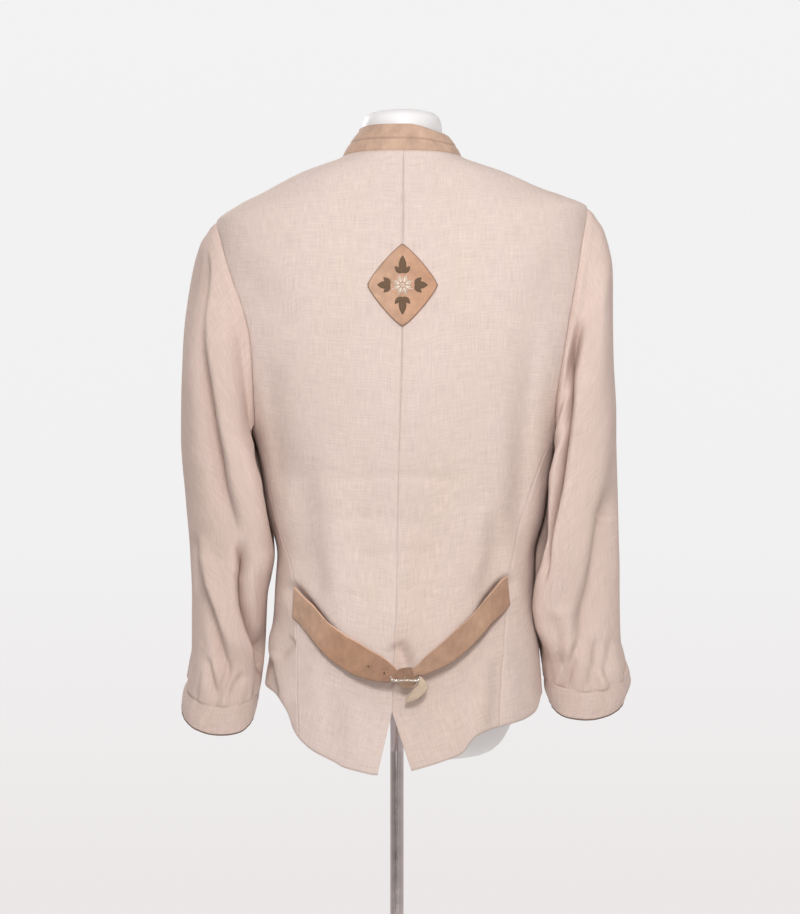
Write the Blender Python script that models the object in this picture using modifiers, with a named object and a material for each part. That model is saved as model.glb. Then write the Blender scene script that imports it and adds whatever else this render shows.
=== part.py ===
"""Linen trachten jacket on a limbless dress form.

Metres, +Z up, the floor at z = 0 and the stand's pole on the Z axis. The jacket's front faces -Y
and its back faces +Y, so the wearer's left is +X.

The body of the jacket is one family of horizontal rings, from hem to neck. Every panel is a patch of
that family between two seams, and what is sewn on top of a panel is made from the panel's own points,
moved out. The sleeves start on the armhole edge of the panels and hang as oval rings.
"""

import math

import bmesh
import bpy
import numpy as np
from mathutils import Matrix, Vector

# ------------------------------------------------------------------ driving sizes
CLOTH = 0.0016          # linen wall
SUEDE = 0.0020          # collar wall
STRAP = 0.0022          # half belt wall
PATCH = 0.0012          # diamond patch wall
SEAM = 0.0005           # gap between two panels at a seam
EDGE_GAP = 0.0010       # gap along the shoulder seam and the armhole edge
ARMHOLE_GAP = 0.0022    # gap between a panel's armhole edge and the sleeve
LAY = 0.0012            # gap under what lies on a panel
RING_POWER = 2.4        # superellipse power of the body rings
GARMENT_X = -0.006      # the form stands this far beside the pole's axis

SHOULDER_Z = 1.2955     # height of the shoulder points, before the tilt
SHOULDER_DROP = 0.0085  # the left shoulder hangs this much lower, the right one higher
SHOULDER_X = 0.221
UNDERARM_Z = 1.046      # armhole ends of the side-back and side-front seams
UNDERARM_SHARE = 0.55   # share of a panel's rows that is below the underarm
UNDERARM_DIP = 0.010    # the armhole's lowest point is this much lower
NECK_BACK_Z, NECK_SIDE_Z, NECK_FRONT_Z = 1.3655, 1.3630, 1.2900
NECK_HALF = 0.0725      # half width of the neck seam at the shoulders
HEM_SIDE_LEFT_Z, HEM_SIDE_RIGHT_Z, HEM_FRONT_Z = 0.736, 0.726, 0.730
VENT_TOP_Z, VENT_FOOT_Z = 0.7155, 0.6465
VENT_LEFT_X, VENT_RIGHT_X = 0.0276, -0.0115
FRONT_LAP = 0.014       # each front runs this far past the centre front
LAP_STEP = 0.0034       # the under front lies this much lower in the lap
COLLAR_FRONT_LIFT = 0.004  # the seam gap is wider where the neck edge turns fast at the front
COLLAR_OPEN_DEG = 3.0   # the collar ends stop this far from the centre front
COLLAR_HEIGHT, COLLAR_LEAN = 0.031, 0.0165

# ------------------------------------------------------------------ tables
# body rings: half width, sideways shift, depth to the back and to the front
BODY_COLUMNS = ("z", "half_width", "shift", "back", "front")
BODY = (
    (0.630, 0.1700, -0.0010, 0.1390, 0.128),
    (0.690, 0.1685, -0.0010, 0.1380, 0.128),
    (0.735, 0.1640, -0.0015, 0.1330, 0.126),
    (0.790, 0.1585, -0.0035, 0.1220, 0.120),
    (0.840, 0.1538, -0.0025, 0.1110, 0.114),
    (0.888, 0.1535, -0.0040, 0.1050, 0.113),
    (0.937, 0.1640, -0.0050, 0.1050, 0.120),
    (1.008, 0.1750, -0.0050, 0.1120, 0.138),
    (1.060, 0.1880, -0.0030, 0.1170, 0.148),
    (1.120, 0.2080, -0.0015, 0.1205, 0.147),
    (1.180, 0.2190, 0.0000, 0.1200, 0.131),
    (1.235, 0.2235, 0.0000, 0.1130, 0.110),
    (1.275, 0.2235, 0.0000, 0.1020, 0.090),
    (1.2955, 0.2210, 0.0000, 0.0940, 0.079),
    (1.3117, 0.1950, 0.0000, 0.0870, 0.071),
    (1.3245, 0.1650, 0.0000, 0.0800, 0.066),
    (1.3467, 0.1180, 0.0000, 0.0710, 0.0635),
    (1.3570, 0.0880, 0.0000, 0.0675, 0.063),
    (1.3630, 0.0725, 0.0000, 0.0655, 0.0625),
    (1.3700, 0.0680, 0.0000, 0.0640, 0.062),
)

# armhole edge of the back and of the front, measured across from the middle of the ring
ARMHOLE_COLUMNS = ("z", "back_left_x", "back_right_x", "front_x")
ARMHOLE = (
    (1.046, 0.1772, 0.1770, 0.1745),
    (1.066, 0.1768, 0.1780, 0.1750),
    (1.112, 0.1766, 0.1850, 0.1790),
    (1.150, 0.1785, 0.1925, 0.1840),
    (1.182, 0.1860, 0.1990, 0.1900),
    (1.215, 0.1975, 0.2055, 0.1985),
    (1.250, 0.2085, 0.2120, 0.2080),
    (1.2955, 0.2210, 0.2210, 0.2210),
)

# seams down the body: side-back on the left and on the right, side-front, and centre back
SEAM_COLUMNS = ("z", "side_back_left", "side_back_right", "side_front", "centre_back")
SEAMS = (
    (0.640, 0.1205, 0.1130, 0.1320, 0.0115),
    (0.711, 0.1210, 0.1135, 0.1310, 0.0115),
    (0.785, 0.1225, 0.1180, 0.1290, 0.0092),
    (0.837, 0.1250, 0.1215, 0.1280, 0.0066),
    (0.868, 0.1285, 0.1255, 0.1300, 0.0062),
    (0.912, 0.1420, 0.1370, 0.1380, 0.0059),
    (0.957, 0.1540, 0.1490, 0.1460, 0.0048),
    (1.000, 0.1630, 0.1630, 0.1560, 0.0040),
    (1.046, 0.1733, 0.1807, 0.1745, 0.0025),
    (1.150, 0.1733, 0.1807, 0.1745, 0.0000),
    (1.370, 0.1733, 0.1807, 0.1745, -0.0017),
)

# hem of the back on each side, by the distance from the centre: the left tail rounds up late, the right one early
HEM_COLUMNS = ("x", "left_z", "right_z")
HEM = (
    (0.000, 0.6440, 0.6455), (0.029, 0.6437, 0.6537), (0.048, 0.6470, 0.6597), (0.069, 0.6526, 0.6685),
    (0.077, 0.6572, 0.6795), (0.085, 0.6608, 0.6880), (0.103, 0.6690, 0.6940), (0.116, 0.6785, 0.6968),
    (0.128, 0.6930, 0.6990), (0.136, 0.7120, 0.7006), (0.143, 0.7225, 0.7022), (0.152, 0.7290, 0.7060),
    (0.160, 0.7330, 0.7130), (0.167, 0.7360, 0.7260),
)

# sleeve sections: outer and inner point of the oval, its half depth, middle and forward tilt
SLEEVE_COLUMNS = ("outer_x", "outer_z", "inner_x", "inner_z", "half_depth", "middle_y", "tilt_deg")
SLEEVE_LEFT = (
    (0.2408, 1.2597, 0.1800, 1.0240, 0.0740, 0.004, 0),
    (0.2527, 1.2120, 0.1795, 1.0120, 0.0780, 0.006, 0),
    (0.2615, 1.1200, 0.1780, 0.9930, 0.0770, 0.008, 2),
    (0.2625, 1.0300, 0.1735, 0.9670, 0.0730, 0.011, 4),
    (0.2565, 0.9550, 0.1645, 0.9320, 0.0680, 0.014, 7),
    (0.2515, 0.8920, 0.1560, 0.8880, 0.0630, 0.014, 12),
    (0.2495, 0.8350, 0.1610, 0.8350, 0.0580, 0.009, 19),
    (0.2503, 0.7850, 0.1630, 0.7860, 0.0540, 0.003, 27),
    (0.2535, 0.7435, 0.1675, 0.7420, 0.0490, -0.004, 34),
)
SLEEVE_RIGHT = (
    (0.2403, 1.2770, 0.1860, 1.0260, 0.0740, 0.004, 0),
    (0.2495, 1.2350, 0.1855, 1.0140, 0.0780, 0.006, 0),
    (0.2505, 1.1500, 0.1845, 0.9950, 0.0770, 0.008, 2),
    (0.2545, 1.0500, 0.1830, 0.9680, 0.0730, 0.010, 4),
    (0.2567, 0.9650, 0.1780, 0.9320, 0.0680, 0.012, 7),
    (0.2585, 0.8950, 0.1700, 0.8880, 0.0640, 0.012, 11),
    (0.2590, 0.8400, 0.1630, 0.8380, 0.0600, 0.008, 17),
    (0.2610, 0.7900, 0.1660, 0.7890, 0.0560, 0.003, 24),
    (0.2685, 0.7620, 0.1670, 0.7555, 0.0520, -0.002, 29),
)
# how far the back of a sleeve lies over the side of the body, by height
WRAP_COLUMNS = ("z", "left", "right")
WRAP = (
    (0.745, 0.000, 0.020),
    (0.790, 0.000, 0.029),
    (0.840, 0.000, 0.038),
    (0.855, 0.000, 0.042),
    (0.872, 0.008, 0.046),
    (0.893, 0.030, 0.047),
    (0.920, 0.030, 0.044),
    (0.945, 0.036, 0.038),
    (0.975, 0.033, 0.028),
    (1.005, 0.027, 0.017),
    (1.035, 0.012, 0.006),
    (1.060, 0.000, 0.000),
)
CUFF_LEFT = (
    (0.2530, 0.7415, 0.1685, 0.7400, 0.0455, -0.0045, 34),
    (0.2625, 0.7230, 0.1700, 0.7225, 0.0450, -0.0100, 36),
    (0.2655, 0.7085, 0.1765, 0.7000, 0.0440, -0.0160, 38),
)
CUFF_RIGHT = (
    (0.2680, 0.7595, 0.1685, 0.7530, 0.0485, -0.0025, 29),
    (0.2725, 0.7420, 0.1700, 0.7370, 0.0475, -0.0080, 31),
    (0.2680, 0.7235, 0.1755, 0.7185, 0.0460, -0.0130, 33),
)

# the largest folds of the sleeves: place round the oval (0 outer, 0.25 back, 0.5 inner) at three
# shares of the drop, the depth of the trough and its half width round the oval
FOLD_COLUMNS = ("turn_top", "turn_mid", "turn_low", "from_drop", "to_drop", "depth", "half_turn")
FOLDS_LEFT = (
    (0.135, 0.150, 0.185, 0.06, 0.97, 0.0075, 0.060),
    (0.300, 0.330, 0.360, 0.45, 1.00, 0.0065, 0.055),
    (0.760, 0.740, 0.720, 0.20, 0.90, 0.0050, 0.070),
)
FOLDS_RIGHT = (
    (0.190, 0.300, 0.340, 0.08, 0.75, 0.0075, 0.060),
    (0.080, 0.120, 0.240, 0.55, 1.00, 0.0065, 0.055),
    (0.760, 0.740, 0.720, 0.20, 0.90, 0.0050, 0.070),
)
# the soft vertical hollows of the back: across, top and foot, depth and half width
HOLLOW_COLUMNS = ("x", "top_z", "foot_z", "depth", "half_width")
HOLLOWS = (
    (0.120, 1.150, 0.960, 0.0035, 0.016),
    (-0.138, 1.150, 0.900, 0.0050, 0.022),
)

# half belt: middle line across and up the back, width, stand-off, and how far the strip is turned up
STRAP_COLUMNS = ("x", "z", "width", "off", "turn_deg")
STRAP_LEFT = (
    (0.1235, 0.8400, 0.033, 0.0016, 0),
    (0.1100, 0.8265, 0.032, 0.0030, 4),
    (0.0945, 0.8076, 0.033, 0.0050, 8),
    (0.0733, 0.7893, 0.035, 0.0050, 12),
    (0.0510, 0.7744, 0.035, 0.0050, 18),
    (0.0300, 0.7650, 0.030, 0.0070, 30),
    (0.0160, 0.7590, 0.024, 0.0090, 44),
)
STRAP_RIGHT = (
    (-0.1215, 0.8540, 0.031, 0.0022, 0),
    (-0.1085, 0.8405, 0.031, 0.0040, 8),
    (-0.0882, 0.8160, 0.029, 0.0050, 26),
    (-0.0722, 0.8005, 0.028, 0.0050, 34),
    (-0.0539, 0.7840, 0.027, 0.0055, 40),
    (-0.0370, 0.7705, 0.024, 0.0070, 48),
    (-0.0240, 0.7615, 0.020, 0.0090, 55),
)
# free end of the strap: it leaves the buckle, curls over and hangs to the left
TAIL_COLUMNS = ("x", "off", "z", "width")
TAIL = (
    (-0.0275, 0.0195, 0.7520, 0.009), (-0.0295, 0.0205, 0.7490, 0.011), (-0.0280, 0.0210, 0.7440, 0.012),
    (-0.0220, 0.0200, 0.7375, 0.011), (-0.0130, 0.0170, 0.7315, 0.009), (-0.0030, 0.0130, 0.7265, 0.004),
)

PATCH_Z, PATCH_HALF_W, PATCH_HALF_H, PATCH_POWER = 1.2045, 0.0410, 0.0485, 1.16
BUCKLE_X, BUCKLE_Z, BUCKLE_OFF = -0.0035, 0.7560, 0.0155
BUCKLE_W, BUCKLE_H, BUCKLE_CORNER, BUCKLE_WIRE = 0.034, 0.020, 0.005, 0.0015
BUCKLE_TILT_DEG = 55
BUTTON_R, BUTTON_T = 0.0100, 0.0042
BUTTON_TOP_Z, BUTTON_FOOT_Z, BUTTONS = 1.255, 0.795, 6

# dress form: half width, depth to the back and to the front
FORM_COLUMNS = ("z", "half_width", "back", "front")
FORM = (
    (0.6520, 0.0850, 0.0660, 0.0640),
    (0.6545, 0.0975, 0.0750, 0.0720),
    (0.6600, 0.1090, 0.0830, 0.0800),
    (0.6690, 0.1185, 0.0900, 0.0870),
    (0.6820, 0.1265, 0.0960, 0.0930),
    (0.7020, 0.1345, 0.1015, 0.0980),
    (0.7400, 0.1440, 0.1070, 0.1030),
    (0.8100, 0.1420, 0.0990, 0.1010),
    (0.8800, 0.1250, 0.0850, 0.0960),
    (0.9400, 0.1240, 0.0850, 0.1000),
    (1.0000, 0.1360, 0.0920, 0.1130),
    (1.0700, 0.1480, 0.0990, 0.1250),
    (1.1300, 0.1560, 0.1030, 0.1200),
    (1.2000, 0.1700, 0.1020, 0.1020),
    (1.2500, 0.1860, 0.0930, 0.0820),
    (1.2760, 0.1880, 0.0820, 0.0680),
    (1.2930, 0.1760, 0.0740, 0.0600),
    (1.3080, 0.1460, 0.0670, 0.0550),
    (1.3250, 0.1100, 0.0600, 0.0500),
    (1.3400, 0.0760, 0.0530, 0.0470),
    (1.3540, 0.0560, 0.0480, 0.0460),
    (1.3700, 0.0485, 0.0455, 0.0455),
    (1.4000, 0.0475, 0.0455, 0.0455),
    (1.4110, 0.0445, 0.0425, 0.0425),
    (1.4165, 0.0380, 0.0360, 0.0360),
    (1.4190, 0.0280, 0.0265, 0.0265),
)
NOTCH_HALF, NOTCH_TOP = 0.034, 0.765   # arched notch in the form's foot, where the pole goes up
POLE_R, SOCKET_R, SOCKET_T, SOCKET_DROP = 0.0080, 0.0180, 0.0080, 0.0068
BASE_R, BASE_T, BOSS_R, BOSS_H = 0.175, 0.012, 0.018, 0.045

# colours from the photograph, linear
LINEN, TAN, BUFF = (0.72, 0.60, 0.54), (0.47, 0.28, 0.17), (0.62, 0.45, 0.33)
METAL, HORN, WHITE, STEEL = (0.62, 0.57, 0.48), (0.22, 0.13, 0.08), (0.86, 0.86, 0.87), (0.60, 0.58, 0.58)


# ------------------------------------------------------------------ curves through the tables
class Track:
    """A smooth curve through one column of a table, with no overshoot between its rows."""

    def __init__(self, at, value):
        order = np.argsort(at)
        self.x, self.y = np.asarray(at, float)[order], np.asarray(value, float)[order]
        h, d = np.diff(self.x), np.diff(self.y) / np.diff(self.x)
        self.m = np.zeros(len(self.x))
        self.m[0], self.m[-1] = d[0], d[-1]
        for i in range(1, len(d)):
            if d[i - 1] * d[i] > 0:
                w1, w2 = 2 * h[i] + h[i - 1], h[i] + 2 * h[i - 1]
                self.m[i] = (w1 + w2) / (w1 / d[i - 1] + w2 / d[i])

    def __call__(self, x):
        x = np.clip(np.asarray(x, float), self.x[0], self.x[-1])
        i = np.clip(np.searchsorted(self.x, x) - 1, 0, len(self.x) - 2)
        h = self.x[i + 1] - self.x[i]
        t = (x - self.x[i]) / h
        return ((1 + 2 * t) * (1 - t) ** 2 * self.y[i] + t * (1 - t) ** 2 * h * self.m[i]
                + t * t * (3 - 2 * t) * self.y[i + 1] + t * t * (t - 1) * h * self.m[i + 1])


def tracks(columns, table, key=0):
    rows = np.array(table, float)
    return {c: Track(rows[:, key], rows[:, k]) for k, c in enumerate(columns)}


def smooth(t):
    t = np.clip(t, 0.0, 1.0)
    return t * t * (3 - 2 * t)


body_t, armhole_t = tracks(BODY_COLUMNS, BODY), tracks(ARMHOLE_COLUMNS, ARMHOLE)
wrap_t = tracks(WRAP_COLUMNS, WRAP)
seam_t, hem_t = tracks(SEAM_COLUMNS, SEAMS), tracks(HEM_COLUMNS, HEM)


# ------------------------------------------------------------------ body of the jacket
def power(v, p):
    return np.sign(v) * np.abs(v) ** p


def hollows(x, z):
    """How far the back is drawn in at (x, z) by its soft vertical hollows."""
    total = np.zeros(np.broadcast(x, z).shape)
    for across, top, foot, depth, half in HOLLOWS:
        along = (z - foot) / (top - foot)
        total += depth * np.exp(-(((x - across) / half) ** 2)) * smooth(along * 3) * smooth((1 - along) * 3)
    return total


def body_point(turn, z, out=0.0):
    """Point of the body at an angle round it (0 left side, 90 back, 180 right side) and a height, moved out."""
    turn, z = np.broadcast_arrays(np.radians(turn), np.asarray(z, float))
    c, s = np.cos(turn), np.sin(turn)
    half, shift = body_t["half_width"](z) + out, body_t["shift"](z)
    back, front = body_t["back"](z) + out, body_t["front"](z) + out
    x = shift + half * power(c, 2 / RING_POWER)
    y = np.where(s > 0, back, front) * power(s, 2 / RING_POWER)
    y = y - np.where(s > 0, hollows(x, z), 0.0) * np.clip(s, 0, 1)
    drop = SHOULDER_DROP * power(x / SHOULDER_X, 4) * smooth((z - 1.10) / 0.15)
    return np.stack([x, y, z - drop], -1)


def turn_at(x, z, side):
    """Angle at which the ring at height z passes x, on the back (side 1) or on the front (side -1)."""
    r = (np.asarray(x, float) - body_t["shift"](z)) / body_t["half_width"](z)
    c = power(np.clip(r, -1, 1), RING_POWER / 2)
    return side * np.degrees(np.arccos(np.clip(c, -1, 1)))


def back_at(x, z, out=0.0):
    """Point of the back at a place across and a height."""
    return body_point(turn_at(x, z, 1), z, out)


def hem_back(turn, left):
    """Height of the hem at an angle round the back half."""
    x = np.abs(body_point(turn, 0.69)[..., 0])
    return hem_t["left_z" if left else "right_z"](x)


def hem_front(turn, left):
    """Height of the hem at an angle round the front half."""
    side_z = HEM_SIDE_LEFT_Z if left else HEM_SIDE_RIGHT_Z
    return side_z + (HEM_FRONT_Z - side_z) * smooth(np.abs(turn - (0.0 if left else 180.0)) / 60)


def front_neck():
    """Height of the front neck edge by the angle round the body: a scoop as wide as the neck."""
    share = np.radians(np.linspace(0, 90, 46))
    x, z = NECK_HALF * np.cos(share), NECK_SIDE_Z + (NECK_FRONT_Z - NECK_SIDE_Z) * np.sin(share) ** 1.3
    return Track(np.abs(turn_at(x, z, -1)), z)


front_neck_t = front_neck()


def neck_z(turn):
    """Height of the neck seam at an angle round the body."""
    turn = np.asarray(turn, float)
    ahead = np.minimum(np.abs(turn), np.abs(turn - 180.0))
    back = NECK_SIDE_Z + (NECK_BACK_Z - NECK_SIDE_Z) * smooth(np.sin(np.radians(turn)))
    return np.where((turn < 0) | (turn > 180), front_neck_t(ahead), back)


def armhole_turn(z, side, half):
    """Angle of the armhole edge (below the shoulder point) or of the shoulder seam (above it)."""
    name = "front_x" if half < 0 else "back_left_x" if side > 0 else "back_right_x"
    r = np.clip(armhole_t[name](z) / body_t["half_width"](z), 0, 1)
    a = np.degrees(np.arccos(r ** (RING_POWER / 2)))
    a = np.where(z >= SHOULDER_Z - 1e-9, 0.0, a) * half
    return a if side > 0 else 180.0 - a


def spread(n, edge=0.03):
    """Shares across a panel, with a narrow strip at each seam edge."""
    return np.concatenate([[0.0, edge], np.linspace(0, 1, n)[1:-1], [1 - edge, 1.0]])


def panel(inner_turn, outer_turn, low_z, high_z, across, up):
    """Grid of body points between two seams (angles by height) and two edges (heights by angle)."""
    u, v = np.meshgrid(across, up)
    below, above = np.clip(v / UNDERARM_SHARE, 0, 1), np.clip((v - UNDERARM_SHARE) / (1 - UNDERARM_SHARE), 0, 1)
    turn, z = np.full_like(u, 90.0), np.full_like(u, UNDERARM_Z)
    for _ in range(12):
        low, high = low_z(turn), high_z(turn)
        chest = np.minimum(UNDERARM_Z, high)       # the rows reach the underarm together in every panel
        z = low + (chest - low) * below + (high - chest) * above
        a, b = inner_turn(z), outer_turn(z)
        turn = a + (b - a) * u
    return turn, z


def seam_gap(turn, z, direction, gap=SEAM / 2):
    """An angle moved sideways by half of a seam's gap."""
    here, there = body_point(turn, z), body_point(turn + direction * 0.2, z)
    step = np.linalg.norm(there - here, axis=-1)
    return turn + direction * 0.2 * gap / np.maximum(step, 1e-6)


def vent_x(z, left):
    foot = VENT_LEFT_X if left else VENT_RIGHT_X
    share = np.clip((VENT_TOP_Z - z) / (VENT_TOP_Z - VENT_FOOT_Z), 0, 1)
    return seam_t["centre_back"](z) * (1 - share) + foot * share


def back_panel(left, across, up):
    side = 1 if left else -1
    name = "side_back_left" if left else "side_back_right"

    def inner(z):
        return seam_gap(turn_at(vent_x(z, left), z, 1), z, -side)

    def outer(z):
        seam = turn_at(side * seam_t[name](z), z, 1)
        hole = armhole_turn(z, side, 1)
        return seam_gap(np.where(z > UNDERARM_Z, hole, seam), z, side, np.where(z > UNDERARM_Z, EDGE_GAP, SEAM) / 2)

    turn, z = panel(inner, outer, lambda t: hem_back(t, left), neck_z, across, up)
    return body_point(turn, z)


def side_panel(left, across, up):
    side = 1 if left else -1
    name = "side_back_left" if left else "side_back_right"

    def rear(z):
        return seam_gap(turn_at(side * seam_t[name](z), z, 1), z, -side)

    def fore(z):
        a = turn_at(body_t["shift"](z) + side * seam_t["side_front"](z), z, -1)
        return seam_gap(a if left else a + 360.0, z, side)

    middle = 0.0 if left else 180.0

    def low(t):
        ahead = np.where(left, t < 0, t > 180)
        return np.where(ahead, hem_front(t, left), hem_back(t, left))

    def high(t):
        span = np.clip(1 - (np.abs(t - middle) / 16) ** 2, 0, 1)
        return UNDERARM_Z - UNDERARM_DIP * span

    turn, z = panel(rear, fore, low, high, across, up)
    return body_point(turn, z)


def front_panel(left, across, up):
    """Front from the side-front seam to past the centre front. The left one lies under the right one there."""
    side = 1 if left else -1
    centre = -90.0 if left else 270.0

    def inner(z):
        seam = turn_at(body_t["shift"](z) + side * seam_t["side_front"](z), z, -1)
        hole = armhole_turn(z, side, -1)
        if not left:
            seam = seam + 360.0
        return seam_gap(np.where(z > UNDERARM_Z, hole, seam), z, -side, np.where(z > UNDERARM_Z, EDGE_GAP, SEAM) / 2)

    def outer(z):
        x = -side * FRONT_LAP
        a = turn_at(x, z, -1)
        return a if left else a + 360.0

    def low(t):
        return hem_front(t, left)

    turn, z = panel(inner, outer, low, neck_z, across, up)
    points = body_point(turn, z)
    if left:
        lap = smooth((0.036 - points[..., 0]) / 0.016) * smooth((-points[..., 1] - 0.02) / 0.02)
        points[..., 1] += LAP_STEP * lap
    return points


# ------------------------------------------------------------------ sleeves
def along(points, n, closed=False):
    """n points at even distances along a line."""
    p = np.vstack([points, points[:1]]) if closed else np.asarray(points)
    d = np.concatenate([[0], np.cumsum(np.linalg.norm(np.diff(p, axis=0), axis=1))])
    at = np.linspace(0, d[-1], n + 1)[:-1] if closed else np.linspace(0, d[-1], n)
    return np.stack([np.interp(at, d, p[:, k]) for k in range(3)], 1)


def armhole_loop(side, n):
    """Closed line of the armhole, from the shoulder point down the back, under the arm and up the front."""
    z = np.linspace(SHOULDER_Z, UNDERARM_Z, 60)
    rear = body_point(armhole_turn(z, side, 1), z)
    fore = body_point(armhole_turn(z[::-1], side, -1), z[::-1])
    a0, a1 = armhole_turn(UNDERARM_Z, side, 1), armhole_turn(UNDERARM_Z, side, -1)
    t = np.linspace(a0, a1, 30)
    middle = 0.0 if side > 0 else 180.0
    dip = UNDERARM_DIP * np.clip(1 - (np.abs(t - middle) / 16) ** 2, 0, 1)
    under = body_point(t, UNDERARM_Z - dip)
    return along(np.vstack([rear, under[1:-1], fore[:-1]]), n, closed=True)


def oval(row, side, n, turns=None):
    """Points round a sleeve section, from the outer point over the back to the inner point and the front."""
    ox, oz, ix, iz, depth, middle, tilt = row
    t = 2 * math.pi * (np.arange(n) / n if turns is None else turns)
    c, s = power(np.cos(t), 0.92), power(np.sin(t), 0.92)
    x = (ox + ix) / 2 + (ox - ix) / 2 * c
    z = (oz + iz) / 2 + (oz - iz) / 2 * c - depth * s * math.sin(math.radians(tilt))
    y = middle + depth * s * math.cos(math.radians(tilt))
    return np.stack([side * x, y, z], 1)


def sections(table, share):
    """A sleeve table read at shares of its drop, smoothly."""
    rows = np.array(table, float)
    mid = (rows[:, [0, 1]] + rows[:, [2, 3]]) / 2
    d = np.concatenate([[0], np.cumsum(np.linalg.norm(np.diff(mid, axis=0), axis=1))])
    return np.stack([Track(d / d[-1], rows[:, k])(share) for k in range(rows.shape[1])], 1)


def sleeve_grid(table, folds, side, around, shares):
    loop = armhole_loop(side, around)
    top, low = loop[0], loop[np.argmin(loop[:, 2])]
    start = (abs(top[0]), top[2], abs(low[0]), low[2], 0.066, 0.0, 0.0)
    rows = sections((start,) + tuple(table), shares)
    turns = np.arange(around) / around
    rings, first = [], None
    for share, row in zip(shares, rows):
        ring = oval(row, side, around)
        if first is None:
            first = ring
        ring = ring + (1 - smooth(share / 0.30)) * (loop - first)
        over = wrap_t["left" if side > 0 else "right"](ring[:, 2]) * smooth((share - 0.16) / 0.22) * (1 - smooth((share - 0.84) / 0.14))
        ring[:, 0] -= side * over * np.clip(np.sin(2 * math.pi * turns), 0, None) ** 1.3
        centre = ring.mean(0)
        inward = centre - ring
        inward[:, 2] *= 0.15
        inward /= np.linalg.norm(inward, axis=1, keepdims=True)
        for t0, t1, t2, begin, end, depth, half in folds:
            at = Track((0, 0.5, 1), (t0, t1, t2))(share)
            span = (share - begin) / (end - begin)
            away = (turns - at + 0.5) % 1.0 - 0.5
            push = depth * np.exp(-((away / half) ** 2)) * smooth(span * 4) * smooth((1 - span) * 6)
            ring = ring + inward * push[:, None]
        rings.append(ring)
    grid = np.array(rings)
    # the sleeve starts a little off the armhole edge
    step = grid[1] - grid[0]
    grid[0] += step / np.linalg.norm(step, axis=1, keepdims=True) * ARMHOLE_GAP
    return grid


# ------------------------------------------------------------------ what lies on the back
def strap_grid(table, sections_n):
    rows = np.array(table, float)
    d = np.concatenate([[0], np.cumsum(np.linalg.norm(np.diff(rows[:, :2], axis=0), axis=1))])
    at = np.linspace(0, d[-1], sections_n)
    x, z, width, off, turn = (Track(d, rows[:, k])(at) for k in range(5))
    centre = back_at(x, z, LAY + off)
    e = 1e-3
    normal = np.cross(back_at(x, z + e) - back_at(x, z - e), back_at(x + e, z) - back_at(x - e, z))
    normal /= np.linalg.norm(normal, axis=1, keepdims=True)
    run = np.gradient(centre, axis=0)
    run /= np.linalg.norm(run, axis=1, keepdims=True)
    wide = np.cross(normal, run)
    wide *= np.sign(wide[:, 2:3])
    a = np.radians(turn)[:, None]
    wide = wide * np.cos(a) - normal * np.sin(a)      # the lower edge swings out from the back
    out = normal * np.cos(a) + wide * np.sin(a)
    half = (width / 2)[:, None]
    lift = half * np.sin(a)                            # the upper edge stays clear of the cloth
    lines = [centre + normal * lift + wide * half * k for k in (-1.0, -0.4, 0.4, 1.0)]
    # the ends lie flat in the seam; between, no point comes nearer the cloth than the gap
    grid = np.stack(lines, 0)
    floor = back_at(grid[..., 0], grid[..., 2], LAY)
    grid[..., 1] = np.maximum(grid[..., 1], floor[..., 1])
    return grid


def tail_grid(n):
    rows = np.array(TAIL, float)
    d = np.concatenate([[0], np.cumsum(np.linalg.norm(np.diff(rows[:, :3], axis=0), axis=1))])
    at = np.linspace(0, d[-1], n)
    x, off, z, width = (Track(d, rows[:, k])(at) for k in range(4))
    line = np.stack([x, back_at(x, z)[:, 1] + off, z], 1)
    run = np.gradient(line, axis=0)
    run /= np.linalg.norm(run, axis=1, keepdims=True)
    wide = np.cross(run, np.array([0.0, 1.0, 0.25]))
    wide /= np.linalg.norm(wide, axis=1, keepdims=True)
    wide[:, 1] += 0.25
    half = (width / 2)[:, None]
    return np.stack([line + wide * half * k for k in (-1.0, 0.0, 1.0)], 0)


def patch_rings(rings, around):
    """Rounded diamond on the back, as a middle point and rings of points."""
    middle_x = float(seam_t["centre_back"](PATCH_Z))
    t = 2 * math.pi * np.arange(around) / around
    grid = []
    for share in np.linspace(0, 1, rings + 1)[1:]:
        c, s = np.cos(t), np.sin(t)
        r = share / (np.abs(c) ** PATCH_POWER + np.abs(s) ** PATCH_POWER) ** (1 / PATCH_POWER)
        grid.append(back_at(middle_x + PATCH_HALF_W * r * c, PATCH_Z + PATCH_HALF_H * r * s, LAY))
    return back_at(np.array([middle_x]), np.array([PATCH_Z]), LAY)[0], np.array(grid)


# ------------------------------------------------------------------ collar
def collar_grid(columns, shares):
    """Stand collar on the neck seam, open at the centre front, leaning in towards the neck."""
    ahead = 90.0 - COLLAR_OPEN_DEG
    turns = np.concatenate([-ahead * np.linspace(1, 0, 80) ** 0.5, np.linspace(0, 180, 120)[1:-1], 180 + ahead * np.linspace(0, 1, 80) ** 0.5])
    base = along(body_point(turns, neck_z(turns)), columns)
    rows = []
    for share in shares:
        centre = np.array([0.0, 0.0])
        flat = base[:, :2] - centre
        length = np.linalg.norm(flat, axis=1, keepdims=True)
        lean = COLLAR_LEAN * (0.55 * share + 0.45 * share * share)
        ring = np.empty_like(base)
        ring[:, :2] = centre + flat * (1 - (lean + 0.0004) / length)
        ring[:, 2] = base[:, 2] + 0.0024 + COLLAR_FRONT_LIFT * smooth(-base[:, 1] / 0.06) + COLLAR_HEIGHT * share
        rows.append(ring)
    return np.array(rows)


# ------------------------------------------------------------------ making objects
def clear_scene():
    for obj in list(bpy.data.objects):
        bpy.data.objects.remove(obj, do_unlink=True)
    for name in ("trachten_jacket", "cutters"):
        collection = bpy.data.collections.new(name)
        bpy.context.scene.collection.children.link(collection)
    bpy.data.collections["cutters"].hide_render = True


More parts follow.
